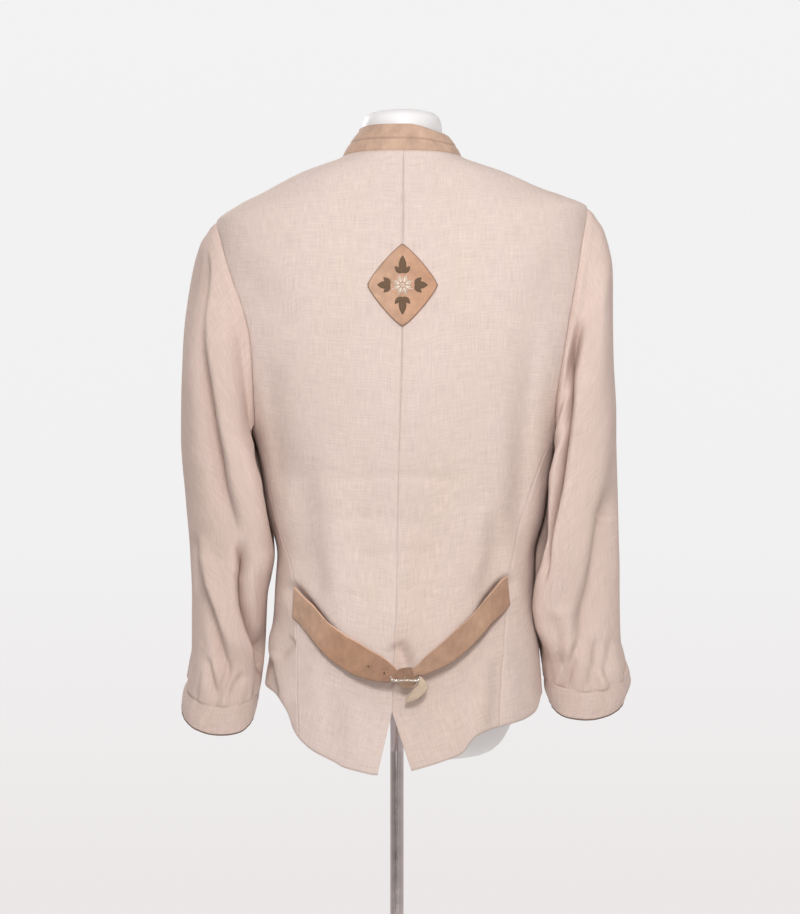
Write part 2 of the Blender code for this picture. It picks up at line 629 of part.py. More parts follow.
def material(name, colour, roughness, metallic=0.0):
    found = bpy.data.materials.get(name)
    if found:
        return found
    made = bpy.data.materials.new(name)
    made.use_nodes = True
    shader = made.node_tree.nodes["Principled BSDF"]
    shader.inputs["Base Color"].default_value = (*colour, 1)
    shader.inputs["Roughness"].default_value = roughness
    shader.inputs["Metallic"].default_value = metallic
    made.diffuse_color = (*colour, 1)
    return made


def place(obj, look, parent=None, collection="trachten_jacket"):
    for c in list(obj.users_collection):
        c.objects.unlink(obj)
    bpy.data.collections[collection].objects.link(obj)
    if look:
        obj.data.materials.clear()
        obj.data.materials.append(look)
    if parent:
        obj.parent = parent
    if obj.type == "MESH":
        obj.data.shade_smooth()
        obj.data.set_sharp_from_angle(angle=math.radians(40))
    return obj


def grid_mesh(name, grid, flip=False, round_u=False):
    """Open surface through a grid of points (rows, columns)."""
    rows, cols = grid.shape[:2]
    bm = bmesh.new()
    verts = [[bm.verts.new(grid[i, j]) for j in range(cols)] for i in range(rows)]
    for i in range(rows - 1):
        for j in range(cols if round_u else cols - 1):
            k = (j + 1) % cols
            face = [verts[i][j], verts[i][k], verts[i + 1][k], verts[i + 1][j]]
            bm.faces.new(face[::-1] if flip else face)
    mesh = bpy.data.meshes.new(name)
    bm.to_mesh(mesh)
    bm.free()
    return bpy.data.objects.new(name, mesh)


def shell(name, grid, look, parent, wall, flip=False, round_u=False, outward=False):
    obj = place(grid_mesh(name, grid, flip, round_u), look, parent)
    wall_mod = obj.modifiers.new("wall", "SOLIDIFY")
    wall_mod.thickness = wall
    wall_mod.offset = 1.0 if outward else -1.0
    wall_mod.use_even_offset = True
    wall_mod.use_quality_normals = True
    return obj


def cylinder(name, radius, low, high, look, parent=None, bevel=0.0, sides=32):
    bpy.ops.mesh.primitive_cylinder_add(vertices=sides, radius=radius, depth=high - low, location=(0, 0, (low + high) / 2))
    obj = bpy.context.object
    obj.name = obj.data.name = name
    if bevel:
        edge = obj.modifiers.new("edge", "BEVEL")
        edge.width, edge.segments, edge.limit_method = bevel, 1, "ANGLE"
    return place(obj, look, parent)


def tube(name, outer, inner, low, high, look, sides=32):
    """Turned ring: a rectangle profile round the Z axis."""
    bm = bmesh.new()
    corners = [bm.verts.new((r, 0, z)) for r, z in ((inner, high), (inner, low), (outer, low), (outer, high))]
    for a, b in zip(corners, corners[1:] + corners[:1]):
        bm.edges.new((a, b))
    mesh = bpy.data.meshes.new(name)
    bm.to_mesh(mesh)
    bm.free()
    obj = bpy.data.objects.new(name, mesh)
    turn = obj.modifiers.new("turn", "SCREW")
    turn.steps = turn.render_steps = sides
    turn.use_merge_vertices, turn.merge_threshold = True, 0.00005
    turn.use_normal_flip = True
    return place(obj, look)


def wire(name, points, radius, look, parent, cyclic):
    curve = bpy.data.curves.new(name, "CURVE")
    curve.dimensions = "3D"
    curve.bevel_depth, curve.bevel_resolution, curve.use_fill_caps = radius, 2, True
    spline = curve.splines.new("POLY")
    spline.points.add(len(points) - 1)
    for p, at in zip(spline.points, points):
        p.co = (*at, 1)
    spline.use_cyclic_u = cyclic
    return place(bpy.data.objects.new(name, curve), look, parent)


# ------------------------------------------------------------------ dress form and stand
def form_object(parent, look):
    rows = tracks(FORM_COLUMNS, FORM)
    heights = [r[0] for r in FORM]
    around = 32
    turn = 2 * math.pi * np.arange(around) / around
    bm = bmesh.new()
    rings = []
    for z in heights:
        a, back, front = (float(rows[c](z)) for c in ("half_width", "back", "front"))
        p = 2 / (2.3 if z < 1.33 else 2.0)
        x, s = a * power(np.cos(turn), p), power(np.sin(turn), p)
        y = np.where(s > 0, back, front) * s
        rings.append([bm.verts.new((x[k], y[k], z)) for k in range(around)])
    for low, high in zip(rings, rings[1:]):
        for j in range(around):
            k = (j + 1) % around
            bm.faces.new((low[j], low[k], high[k], high[j]))
    bm.faces.new(rings[0][::-1])
    bm.faces.new(rings[-1])
    mesh = bpy.data.meshes.new("form_body")
    bm.to_mesh(mesh)
    bm.free()
    obj = place(bpy.data.objects.new("form_body", mesh), look, parent)

    # arched notch from front to back in the form's foot
    notch = bpy.data.curves.new("form_notch", "CURVE")
    notch.dimensions, notch.fill_mode, notch.extrude = "2D", "BOTH", 0.16
    spline = notch.splines.new("POLY")
    arch = [(NOTCH_HALF * math.cos(t), NOTCH_TOP - NOTCH_HALF + NOTCH_HALF * math.sin(t)) for t in np.linspace(0, math.pi, 13)]
    outline = arch + [(-NOTCH_HALF * 1.25, 0.62), (NOTCH_HALF * 1.25, 0.62)]
    spline.points.add(len(outline) - 1)
    for p, (x, z) in zip(spline.points, outline):
        p.co = (x, z, 0, 1)
    spline.use_cyclic_u = True
    shape = bpy.data.objects.new("form_notch_outline", notch)
    shape.matrix_world = Matrix.Translation((-GARMENT_X, 0, 0)) @ Matrix.Rotation(math.radians(90), 4, "X")
    bpy.data.collections["cutters"].objects.link(shape)
    bpy.context.view_layer.update()
    cut_mesh = bpy.data.meshes.new_from_object(shape.evaluated_get(bpy.context.evaluated_depsgraph_get()))
    bm = bmesh.new()
    bm.from_mesh(cut_mesh)
    bmesh.ops.remove_doubles(bm, verts=bm.verts, dist=1e-6)
    bmesh.ops.recalc_face_normals(bm, faces=bm.faces)
    bm.to_mesh(cut_mesh)
    bm.free()
    cutter = bpy.data.objects.new("form_notch", cut_mesh)
    cutter.matrix_world = shape.matrix_world.copy()
    bpy.data.objects.remove(shape, do_unlink=True)
    bpy.data.collections["cutters"].objects.link(cutter)
    cutter.parent = parent
    cutter.hide_render, cutter.display_type = True, "WIRE"
    cut = obj.modifiers.new("notch", "BOOLEAN")
    cut.operation, cut.object, cut.solver = "DIFFERENCE", cutter, "EXACT"
    return obj


def buckle_points():
    """Rounded rectangle in the buckle's own plane."""
    points = []
    for cx, cz, begin in ((1, 1, 0), (-1, 1, 90), (-1, -1, 180), (1, -1, 270)):
        for a in np.radians(np.linspace(begin, begin + 90, 5)):
            points.append((cx * (BUCKLE_W / 2 - BUCKLE_CORNER) + BUCKLE_CORNER * math.cos(a), 0.0,
                           cz * (BUCKLE_H / 2 - BUCKLE_CORNER) + BUCKLE_CORNER * math.sin(a)))
    return points


def main():
    clear_scene()
    linen, tan = material("linen", LINEN, 0.9), material("tan_suede", TAN, 0.85)
    buff, metal = material("buff_suede", BUFF, 0.9), material("old_silver", METAL, 0.35, 1.0)
    horn, white = material("horn", HORN, 0.45), material("form_white", WHITE, 0.35)
    steel = material("chrome", STEEL, 0.15, 1.0)

    garment = bpy.data.objects.new("garment", None)
    bpy.data.collections["trachten_jacket"].objects.link(garment)
    garment.location = (GARMENT_X, 0, 0)

    # rows up a panel: evenly up the body, then closer over the shoulder
    low = np.linspace(0, UNDERARM_SHARE, 9)
    chest = UNDERARM_SHARE + (1 - UNDERARM_SHARE) * np.array([0.15, 0.32, 0.50, 0.66, 0.78, 0.82, 0.87, 0.93, 0.97, 1.0])
    up = np.concatenate([low, chest])
    for left in (True, False):
        tag, side = ("left", 1) if left else ("right", -1)
        shell("back_" + tag, back_panel(left, spread(10), up), linen, garment, CLOTH, flip=left)
        shell("side_" + tag, side_panel(left, spread(8), low), linen, garment, CLOTH, flip=left)
        shell("front_" + tag, front_panel(left, spread(8), up), linen, garment, CLOTH, flip=left)
        table, cuff = (SLEEVE_LEFT, CUFF_LEFT) if left else (SLEEVE_RIGHT, CUFF_RIGHT)
        folds = FOLDS_LEFT if left else FOLDS_RIGHT
        shares = np.concatenate([[0, 0.02], np.linspace(0.07, 1, 15)])
        shell("sleeve_" + tag, sleeve_grid(table, folds, side, 24, shares), linen, garment, CLOTH, flip=left, round_u=True)
        band = np.array([oval(r, side, 24) for r in sections(cuff, np.linspace(0, 1, 4))])
        shell("cuff_" + tag, band, linen, garment, CLOTH, flip=left, round_u=True)

    shell("collar", collar_grid(31, np.linspace(0, 1, 4)), tan, garment, SUEDE)

    shell("belt_left", strap_grid(STRAP_LEFT, 15), tan, garment, STRAP, flip=True, outward=True)
    shell("belt_right", strap_grid(STRAP_RIGHT, 15), tan, garment, STRAP, outward=True)
    shell("belt_tail", tail_grid(11), buff, garment, STRAP, outward=True)

    # diamond patch
    middle, rings = patch_rings(4, 24)
    bm = bmesh.new()
    centre = bm.verts.new(middle)
    rows = [[bm.verts.new(p) for p in ring] for ring in rings]
    for j in range(24):
        k = (j + 1) % 24
        bm.faces.new((centre, rows[0][k], rows[0][j]))
        for low, high in zip(rows, rows[1:]):
            bm.faces.new((low[j], low[k], high[k], high[j]))
    mesh = bpy.data.meshes.new("back_patch")
    bm.to_mesh(mesh)
    bm.free()
    patch = place(bpy.data.objects.new("back_patch", mesh), tan, garment)
    wall = patch.modifiers.new("wall", "SOLIDIFY")
    wall.thickness, wall.offset = PATCH, 1.0

    # buckle and its bar, tipped out from the back
    seat = back_at(np.array([BUCKLE_X]), np.array([BUCKLE_Z]))[0]
    frame = wire("buckle", buckle_points(), BUCKLE_WIRE, metal, garment, True)
    bar = wire("buckle_bar", [(0, 0, -BUCKLE_H / 2 + 2.2 * BUCKLE_WIRE), (0, 0, BUCKLE_H / 2 - 2.2 * BUCKLE_WIRE)], BUCKLE_WIRE * 0.8, metal, garment, False)
    for piece in (frame, bar):
        piece.location = (seat[0], seat[1] + BUCKLE_OFF, seat[2])
        piece.rotation_euler = (math.radians(BUCKLE_TILT_DEG), 0, 0)

    # front buttons, square to the cloth
    for i in range(BUTTONS):
        z = BUTTON_TOP_Z + (BUTTON_FOOT_Z - BUTTON_TOP_Z) * i / (BUTTONS - 1)
        at = body_point(270.0, z)
        rise = body_point(270.0, z + 0.01) - body_point(270.0, z - 0.01)
        normal = Vector((0.0, -rise[2], rise[1])).normalized()
        button = cylinder(f"button_{i + 1}", BUTTON_R, -BUTTON_T / 2, BUTTON_T / 2, horn, garment, bevel=0.0008, sides=16)
        button.rotation_mode = "QUATERNION"
        button.rotation_quaternion = normal.to_track_quat("Z", "Y")
        button.location = Vector((0.0, at[1], at[2])) + normal * (BUTTON_T / 2 + 0.0012)

    form_object(garment, white)
    cylinder("stand_socket", SOCKET_R, NOTCH_TOP - SOCKET_T - SOCKET_DROP, NOTCH_TOP - SOCKET_DROP, steel, bevel=0.001, sides=24)
    cylinder("stand_pole", POLE_R, BASE_T + SEAM, NOTCH_TOP - SOCKET_T - SOCKET_DROP - SEAM, steel, sides=20)
    tube("stand_boss", BOSS_R, POLE_R + 0.0004, BASE_T + SEAM, BASE_T + BOSS_H, steel, sides=24)
    cylinder("stand_base", BASE_R, 0.0, BASE_T, steel, bevel=0.003, sides=40)


main()
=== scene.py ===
"""Linen trachten jacket on a white dress form, seen from behind.

The shapes repeat the frame's own surfaces (metres, +Z up, the back of the jacket faces +Y, the wearer's
left is +X) at a finer pitch, with the folds, seams and finishes that the plain solids leave out.
"""
import math

import bpy
import numpy as np
from mathutils import Matrix, Vector


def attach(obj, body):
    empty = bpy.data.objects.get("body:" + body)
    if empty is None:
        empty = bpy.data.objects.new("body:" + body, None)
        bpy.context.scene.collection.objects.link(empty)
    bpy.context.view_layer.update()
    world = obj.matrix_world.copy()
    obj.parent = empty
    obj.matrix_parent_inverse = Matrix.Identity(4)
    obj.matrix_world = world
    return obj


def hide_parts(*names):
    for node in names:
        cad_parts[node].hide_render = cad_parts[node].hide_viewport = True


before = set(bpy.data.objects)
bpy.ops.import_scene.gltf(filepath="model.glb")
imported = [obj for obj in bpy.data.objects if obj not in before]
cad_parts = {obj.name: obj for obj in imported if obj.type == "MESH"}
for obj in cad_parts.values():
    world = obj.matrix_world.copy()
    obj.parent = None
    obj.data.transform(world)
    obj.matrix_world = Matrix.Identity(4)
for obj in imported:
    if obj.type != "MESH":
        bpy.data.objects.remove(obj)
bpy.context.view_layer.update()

# ------------------------------------------------------------------ sizes, as in the frame
CLOTH, SUEDE, STRAP, PATCH = 0.0016, 0.0020, 0.0022, 0.0012
RING_POWER = 2.4
GARMENT_X = -0.006
SHOULDER_Z, SHOULDER_DROP, SHOULDER_X = 1.2955, 0.0085, 0.221
UNDERARM_Z, UNDERARM_SHARE, UNDERARM_DIP = 1.046, 0.55, 0.010
NECK_BACK_Z, NECK_SIDE_Z, NECK_FRONT_Z, NECK_HALF = 1.3655, 1.3630, 1.2900, 0.0725
HEM_SIDE_LEFT_Z, HEM_SIDE_RIGHT_Z, HEM_FRONT_Z = 0.736, 0.726, 0.730
VENT_TOP_Z, VENT_FOOT_Z, VENT_LEFT_X, VENT_RIGHT_X = 0.7155, 0.6465, 0.0276, -0.0115
FRONT_LAP, LAP_STEP = 0.014, 0.0034
COLLAR_OPEN_DEG, COLLAR_HEIGHT, COLLAR_LEAN = 3.0, 0.031, 0.0165
# body rings: half width, sideways shift, depth to the back and to the front
BODY_COLUMNS = ("z", "half_width", "shift", "back", "front")
BODY = (
    (0.630, 0.1700, -0.0010, 0.1390, 0.128),
    (0.690, 0.1685, -0.0010, 0.1380, 0.128),
    (0.735, 0.1640, -0.0015, 0.1330, 0.126),
    (0.790, 0.1585, -0.0035, 0.1220, 0.120),
    (0.840, 0.1538, -0.0025, 0.1110, 0.114),
    (0.888, 0.1535, -0.0040, 0.1050, 0.113),
    (0.937, 0.1640, -0.0050, 0.1050, 0.120),
    (1.008, 0.1750, -0.0050, 0.1120, 0.138),
    (1.060, 0.1880, -0.0030, 0.1170, 0.148),
    (1.120, 0.2080, -0.0015, 0.1205, 0.147),
    (1.180, 0.2190, 0.0000, 0.1200, 0.131),
    (1.235, 0.2235, 0.0000, 0.1130, 0.110),
    (1.275, 0.2235, 0.0000, 0.1020, 0.090),
    (1.2955, 0.2210, 0.0000, 0.0940, 0.079),
    (1.3117, 0.1950, 0.0000, 0.0870, 0.071),
    (1.3245, 0.1650, 0.0000, 0.0800, 0.066),
    (1.3467, 0.1180, 0.0000, 0.0710, 0.0635),
    (1.3570, 0.0880, 0.0000, 0.0675, 0.063),
    (1.3630, 0.0725, 0.0000, 0.0655, 0.0625),
    (1.3700, 0.0680, 0.0000, 0.0640, 0.062),
)

# armhole edge of the back and of the front, measured across from the middle of the ring
ARMHOLE_COLUMNS = ("z", "back_left_x", "back_right_x", "front_x")
ARMHOLE = (
    (1.046, 0.1772, 0.1770, 0.1745),
    (1.066, 0.1768, 0.1780, 0.1750),
    (1.112, 0.1766, 0.1850, 0.1790),
    (1.150, 0.1785, 0.1925, 0.1840),
    (1.182, 0.1860, 0.1990, 0.1900),
    (1.215, 0.1975, 0.2055, 0.1985),
    (1.250, 0.2085, 0.2120, 0.2080),
    (1.2955, 0.2210, 0.2210, 0.2210),
)

# seams down the body: side-back on the left and on the right, side-front, and centre back
SEAM_COLUMNS = ("z", "side_back_left", "side_back_right", "side_front", "centre_back")
SEAMS = (
    (0.640, 0.1205, 0.1130, 0.1320, 0.0115),
    (0.711, 0.1210, 0.1135, 0.1310, 0.0115),
    (0.785, 0.1225, 0.1180, 0.1290, 0.0092),
    (0.837, 0.1250, 0.1215, 0.1280, 0.0066),
    (0.868, 0.1285, 0.1255, 0.1300, 0.0062),
    (0.912, 0.1420, 0.1370, 0.1380, 0.0059),
    (0.957, 0.1540, 0.1490, 0.1460, 0.0048),
    (1.000, 0.1630, 0.1630, 0.1560, 0.0040),
    (1.046, 0.1733, 0.1807, 0.1745, 0.0025),
    (1.150, 0.1733, 0.1807, 0.1745, 0.0000),
    (1.370, 0.1733, 0.1807, 0.1745, -0.0017),
)

# hem of the back on each side, by the distance from the centre: the left tail rounds up late, the right one early
HEM_COLUMNS = ("x", "left_z", "right_z")
HEM = (
    (0.000, 0.6440, 0.6455), (0.029, 0.6437, 0.6537), (0.048, 0.6470, 0.6597), (0.069, 0.6526, 0.6685),
    (0.077, 0.6572, 0.6795), (0.085, 0.6608, 0.6880), (0.103, 0.6690, 0.6940), (0.116, 0.6785, 0.6968),
    (0.128, 0.6930, 0.6990), (0.136, 0.7120, 0.7006), (0.143, 0.7225, 0.7022), (0.152, 0.7290, 0.7060),
    (0.160, 0.7330, 0.7130), (0.167, 0.7360, 0.7260),
)

# sleeve sections: outer and inner point of the oval, its half depth, middle and forward tilt
SLEEVE_COLUMNS = ("outer_x", "outer_z", "inner_x", "inner_z", "half_depth", "middle_y", "tilt_deg")
SLEEVE_LEFT = (
    (0.2408, 1.2597, 0.1800, 1.0240, 0.0740, 0.004, 0),
    (0.2527, 1.2120, 0.1795, 1.0120, 0.0780, 0.006, 0),
    (0.2615, 1.1200, 0.1780, 0.9930, 0.0770, 0.008, 2),
    (0.2625, 1.0300, 0.1735, 0.9670, 0.0730, 0.011, 4),
    (0.2565, 0.9550, 0.1645, 0.9320, 0.0680, 0.014, 7),
    (0.2515, 0.8920, 0.1560, 0.8880, 0.0630, 0.014, 12),
    (0.2495, 0.8350, 0.1610, 0.8350, 0.0580, 0.009, 19),
    (0.2503, 0.7850, 0.1630, 0.7860, 0.0540, 0.003, 27),
    (0.2535, 0.7435, 0.1675, 0.7420, 0.0490, -0.004, 34),
)
SLEEVE_RIGHT = (
    (0.2403, 1.2770, 0.1860, 1.0260, 0.0740, 0.004, 0),
    (0.2495, 1.2350, 0.1855, 1.0140, 0.0780, 0.006, 0),
    (0.2505, 1.1500, 0.1845, 0.9950, 0.0770, 0.008, 2),
    (0.2545, 1.0500, 0.1830, 0.9680, 0.0730, 0.010, 4),
    (0.2567, 0.9650, 0.1780, 0.9320, 0.0680, 0.012, 7),
    (0.2585, 0.8950, 0.1700, 0.8880, 0.0640, 0.012, 11),
    (0.2590, 0.8400, 0.1630, 0.8380, 0.0600, 0.008, 17),
    (0.2610, 0.7900, 0.1660, 0.7890, 0.0560, 0.003, 24),
    (0.2685, 0.7620, 0.1670, 0.7555, 0.0520, -0.002, 29),
)
# how far the back of a sleeve lies over the side of the body, by height
WRAP_COLUMNS = ("z", "left", "right")
WRAP = (
    (0.745, 0.000, 0.020),
    (0.790, 0.000, 0.029),
    (0.840, 0.000, 0.038),
    (0.855, 0.000, 0.042),
    (0.872, 0.008, 0.046),
    (0.893, 0.030, 0.047),
    (0.920, 0.030, 0.044),
    (0.945, 0.036, 0.038),
    (0.975, 0.033, 0.028),
    (1.005, 0.027, 0.017),
    (1.035, 0.012, 0.006),
    (1.060, 0.000, 0.000),
)
CUFF_LEFT = (
    (0.2530, 0.7415, 0.1685, 0.7400, 0.0455, -0.0045, 34),
    (0.2625, 0.7230, 0.1700, 0.7225, 0.0450, -0.0100, 36),
    (0.2655, 0.7085, 0.1765, 0.7000, 0.0440, -0.0160, 38),
)
CUFF_RIGHT = (
    (0.2680, 0.7595, 0.1685, 0.7530, 0.0485, -0.0025, 29),
    (0.2725, 0.7420, 0.1700, 0.7370, 0.0475, -0.0080, 31),
    (0.2680, 0.7235, 0.1755, 0.7185, 0.0460, -0.0130, 33),
)

# half belt: middle line across and up the back, width, stand-off, and how far the strip is turned up
STRAP_COLUMNS = ("x", "z", "width", "off", "turn_deg")
STRAP_LEFT = (
    (0.1235, 0.8400, 0.033, 0.0016, 0),
    (0.1100, 0.8265, 0.032, 0.0030, 4),
    (0.0945, 0.8076, 0.033, 0.0050, 8),
    (0.0733, 0.7893, 0.035, 0.0050, 12),
    (0.0510, 0.7744, 0.035, 0.0050, 18),
    (0.0300, 0.7650, 0.030, 0.0070, 30),
    (0.0160, 0.7590, 0.024, 0.0090, 44),
)
STRAP_RIGHT = (
    (-0.1215, 0.8540, 0.031, 0.0022, 0),
    (-0.1085, 0.8405, 0.031, 0.0040, 8),
    (-0.0882, 0.8160, 0.029, 0.0050, 26),
    (-0.0722, 0.8005, 0.028, 0.0050, 34),
    (-0.0539, 0.7840, 0.027, 0.0055, 40),
    (-0.0370, 0.7705, 0.024, 0.0070, 48),
    (-0.0240, 0.7615, 0.020, 0.0090, 55),
)
# free end of the strap: it leaves the buckle, curls over and hangs to the left
TAIL_COLUMNS = ("x", "off", "z", "width")
TAIL = (
    (-0.0275, 0.0195, 0.7520, 0.009), (-0.0295, 0.0205, 0.7490, 0.011), (-0.0280, 0.0210, 0.7440, 0.012),
    (-0.0220, 0.0200, 0.7375, 0.011), (-0.0130, 0.0170, 0.7315, 0.009), (-0.0030, 0.0130, 0.7265, 0.004),
)

PATCH_Z, PATCH_HALF_W, PATCH_HALF_H, PATCH_POWER = 1.2045, 0.0410, 0.0485, 1.16
BUCKLE_X, BUCKLE_Z, BUCKLE_OFF = -0.0035, 0.7560, 0.0155
BUCKLE_W, BUCKLE_H, BUCKLE_CORNER, BUCKLE_WIRE = 0.034, 0.020, 0.005, 0.0015
BUCKLE_TILT_DEG = 55
BUTTON_R, BUTTON_T = 0.0100, 0.0042
BUTTON_TOP_Z, BUTTON_FOOT_Z, BUTTONS = 1.255, 0.795, 6

# dress form: half width, depth to the back and to the front
FORM_COLUMNS = ("z", "half_width", "back", "front")
FORM = (
    (0.6520, 0.0850, 0.0660, 0.0640),
    (0.6545, 0.0975, 0.0750, 0.0720),
    (0.6600, 0.1090, 0.0830, 0.0800),
    (0.6690, 0.1185, 0.0900, 0.0870),
    (0.6820, 0.1265, 0.0960, 0.0930),
    (0.7020, 0.1345, 0.1015, 0.0980),
    (0.7400, 0.1440, 0.1070, 0.1030),
    (0.8100, 0.1420, 0.0990, 0.1010),
    (0.8800, 0.1250, 0.0850, 0.0960),
    (0.9400, 0.1240, 0.0850, 0.1000),
    (1.0000, 0.1360, 0.0920, 0.1130),
    (1.0700, 0.1480, 0.0990, 0.1250),
    (1.1300, 0.1560, 0.1030, 0.1200),
    (1.2000, 0.1700, 0.1020, 0.1020),
    (1.2500, 0.1860, 0.0930, 0.0820),
    (1.2760, 0.1880, 0.0820, 0.0680),
    (1.2930, 0.1760, 0.0740, 0.0600),
    (1.3080, 0.1460, 0.0670, 0.0550),
    (1.3250, 0.1100, 0.0600, 0.0500),
    (1.3400, 0.0760, 0.0530, 0.0470),
    (1.3540, 0.0560, 0.0480, 0.0460),
    (1.3700, 0.0485, 0.0455, 0.0455),
    (1.4000, 0.0475, 0.0455, 0.0455),
    (1.4110, 0.0445, 0.0425, 0.0425),
    (1.4165, 0.0380, 0.0360, 0.0360),
    (1.4190, 0.0280, 0.0265, 0.0265),
)
NOTCH_HALF, NOTCH_TOP = 0.034, 0.765   # arched notch in the form's foot, where the pole goes up
POLE_R, SOCKET_R, SOCKET_T, SOCKET_DROP = 0.0080, 0.0180, 0.0080, 0.0068
BASE_R, BASE_T, BOSS_R, BOSS_H = 0.175, 0.012, 0.018, 0.045



# ------------------------------------------------------------------ curves through the tables
class Track:
    """A smooth curve through one column of a table, with no overshoot between its rows."""

    def __init__(self, at, value):
        order = np.argsort(at)
        self.x, self.y = np.asarray(at, float)[order], np.asarray(value, float)[order]
        h, d = np.diff(self.x), np.diff(self.y) / np.diff(self.x)
        self.m = np.zeros(len(self.x))
        self.m[0], self.m[-1] = d[0], d[-1]
        for i in range(1, len(d)):
            if d[i - 1] * d[i] > 0:
                w1, w2 = 2 * h[i] + h[i - 1], h[i] + 2 * h[i - 1]
                self.m[i] = (w1 + w2) / (w1 / d[i - 1] + w2 / d[i])

    def __call__(self, x):
        x = np.clip(np.asarray(x, float), self.x[0], self.x[-1])
        i = np.clip(np.searchsorted(self.x, x) - 1, 0, len(self.x) - 2)
        h = self.x[i + 1] - self.x[i]
        t = (x - self.x[i]) / h
        return ((1 + 2 * t) * (1 - t) ** 2 * self.y[i] + t * (1 - t) ** 2 * h * self.m[i]
                + t * t * (3 - 2 * t) * self.y[i + 1] + t * t * (t - 1) * h * self.m[i + 1])


def tracks(columns, table, key=0):
    rows = np.array(table, float)
    return {c: Track(rows[:, key], rows[:, k]) for k, c in enumerate(columns)}


def smooth(t):
    t = np.clip(t, 0.0, 1.0)
    return t * t * (3 - 2 * t)


def power(v, p):
    return np.sign(v) * np.abs(v) ** p


body_t, armhole_t = tracks(BODY_COLUMNS, BODY), tracks(ARMHOLE_COLUMNS, ARMHOLE)
seam_t, hem_t = tracks(SEAM_COLUMNS, SEAMS), tracks(HEM_COLUMNS, HEM)
wrap_t = tracks(WRAP_COLUMNS, WRAP)


# ------------------------------------------------------------------ body of the jacket
def body_point(turn, z, out=0.0):
    turn, z = np.broadcast_arrays(np.radians(turn), np.asarray(z, float))
    c, s = np.cos(turn), np.sin(turn)
    half, shift = body_t["half_width"](z) + out, body_t["shift"](z)
    back, front = body_t["back"](z) + out, body_t["front"](z) + out
    x = shift + half * power(c, 2 / RING_POWER)
    y = np.where(s > 0, back, front) * power(s, 2 / RING_POWER)
    drop = SHOULDER_DROP * power(x / SHOULDER_X, 4) * smooth((z - 1.10) / 0.15)
    return np.stack([x, y, z - drop], -1)


def turn_at(x, z, side):
    r = (np.asarray(x, float) - body_t["shift"](z)) / body_t["half_width"](z)
    c = power(np.clip(r, -1, 1), RING_POWER / 2)
    return side * np.degrees(np.arccos(np.clip(c, -1, 1)))


def back_at(x, z, out=0.0):
    return body_point(turn_at(x, z, 1), z, out)


def hem_back(turn, left):
    x = np.abs(body_point(turn, 0.69)[..., 0])
    return hem_t["left_z" if left else "right_z"](x)


def hem_front(turn, left):
    side_z = HEM_SIDE_LEFT_Z if left else HEM_SIDE_RIGHT_Z
    return side_z + (HEM_FRONT_Z - side_z) * smooth(np.abs(turn - (0.0 if left else 180.0)) / 60)


def front_neck():
    share = np.radians(np.linspace(0, 90, 46))
    x, z = NECK_HALF * np.cos(share), NECK_SIDE_Z + (NECK_FRONT_Z - NECK_SIDE_Z) * np.sin(share) ** 1.3
    return Track(np.abs(turn_at(x, z, -1)), z)


front_neck_t = front_neck()


def neck_z(turn):
    turn = np.asarray(turn, float)
    ahead = np.minimum(np.abs(turn), np.abs(turn - 180.0))
    back = NECK_SIDE_Z + (NECK_BACK_Z - NECK_SIDE_Z) * smooth(np.sin(np.radians(turn)))
    return np.where((turn < 0) | (turn > 180), front_neck_t(ahead), back)


def armhole_turn(z, side, half):
    name = "front_x" if half < 0 else "back_left_x" if side > 0 else "back_right_x"
    r = np.clip(armhole_t[name](z) / body_t["half_width"](z), 0, 1)
    a = np.degrees(np.arccos(r ** (RING_POWER / 2)))
    a = np.where(z >= SHOULDER_Z - 1e-9, 0.0, a) * half
    return a if side > 0 else 180.0 - a


def panel(inner_turn, outer_turn, low_z, high_z, across, up):
    u, v = np.meshgrid(across, up)
    below, above = np.clip(v / UNDERARM_SHARE, 0, 1), np.clip((v - UNDERARM_SHARE) / (1 - UNDERARM_SHARE), 0, 1)
    turn, z = np.full_like(u, 90.0), np.full_like(u, UNDERARM_Z)
    for _ in range(14):
        low, high = low_z(turn), high_z(turn)
        chest = np.minimum(UNDERARM_Z, high)
        z = low + (chest - low) * below + (high - chest) * above
        a, b = inner_turn(z), outer_turn(z)
        turn = a + (b - a) * u
    return body_point(turn, z)


def vent_x(z, left):
    foot = VENT_LEFT_X if left else VENT_RIGHT_X
    share = np.clip((VENT_TOP_Z - z) / (VENT_TOP_Z - VENT_FOOT_Z), 0, 1)
    return seam_t["centre_back"](z) * (1 - share) + foot * share


def side_hem(t, left):
    ahead = (t < 0) if left else (t > 180)
    return np.where(ahead, hem_front(t, left), hem_back(t, left))


def back_panel(left, across, up):
    side = 1 if left else -1
    name = "side_back_left" if left else "side_back_right"

    def outer(z):
        return np.where(z > UNDERARM_Z, armhole_turn(z, side, 1), turn_at(side * seam_t[name](z), z, 1))

    return panel(lambda z: turn_at(vent_x(z, left), z, 1), outer, lambda t: hem_back(t, left), neck_z, across, up)


def side_panel(left, across, up):
    side = 1 if left else -1
    name = "side_back_left" if left else "side_back_right"
    middle = 0.0 if left else 180.0

    def fore(z):
        a = turn_at(body_t["shift"](z) + side * seam_t["side_front"](z), z, -1)
        return a if left else a + 360.0

    def high(t):
        return UNDERARM_Z - UNDERARM_DIP * np.clip(1 - (np.abs(t - middle) / 16) ** 2, 0, 1)

    return panel(lambda z: turn_at(side * seam_t[name](z), z, 1), fore, lambda t: side_hem(t, left), high, across, up)


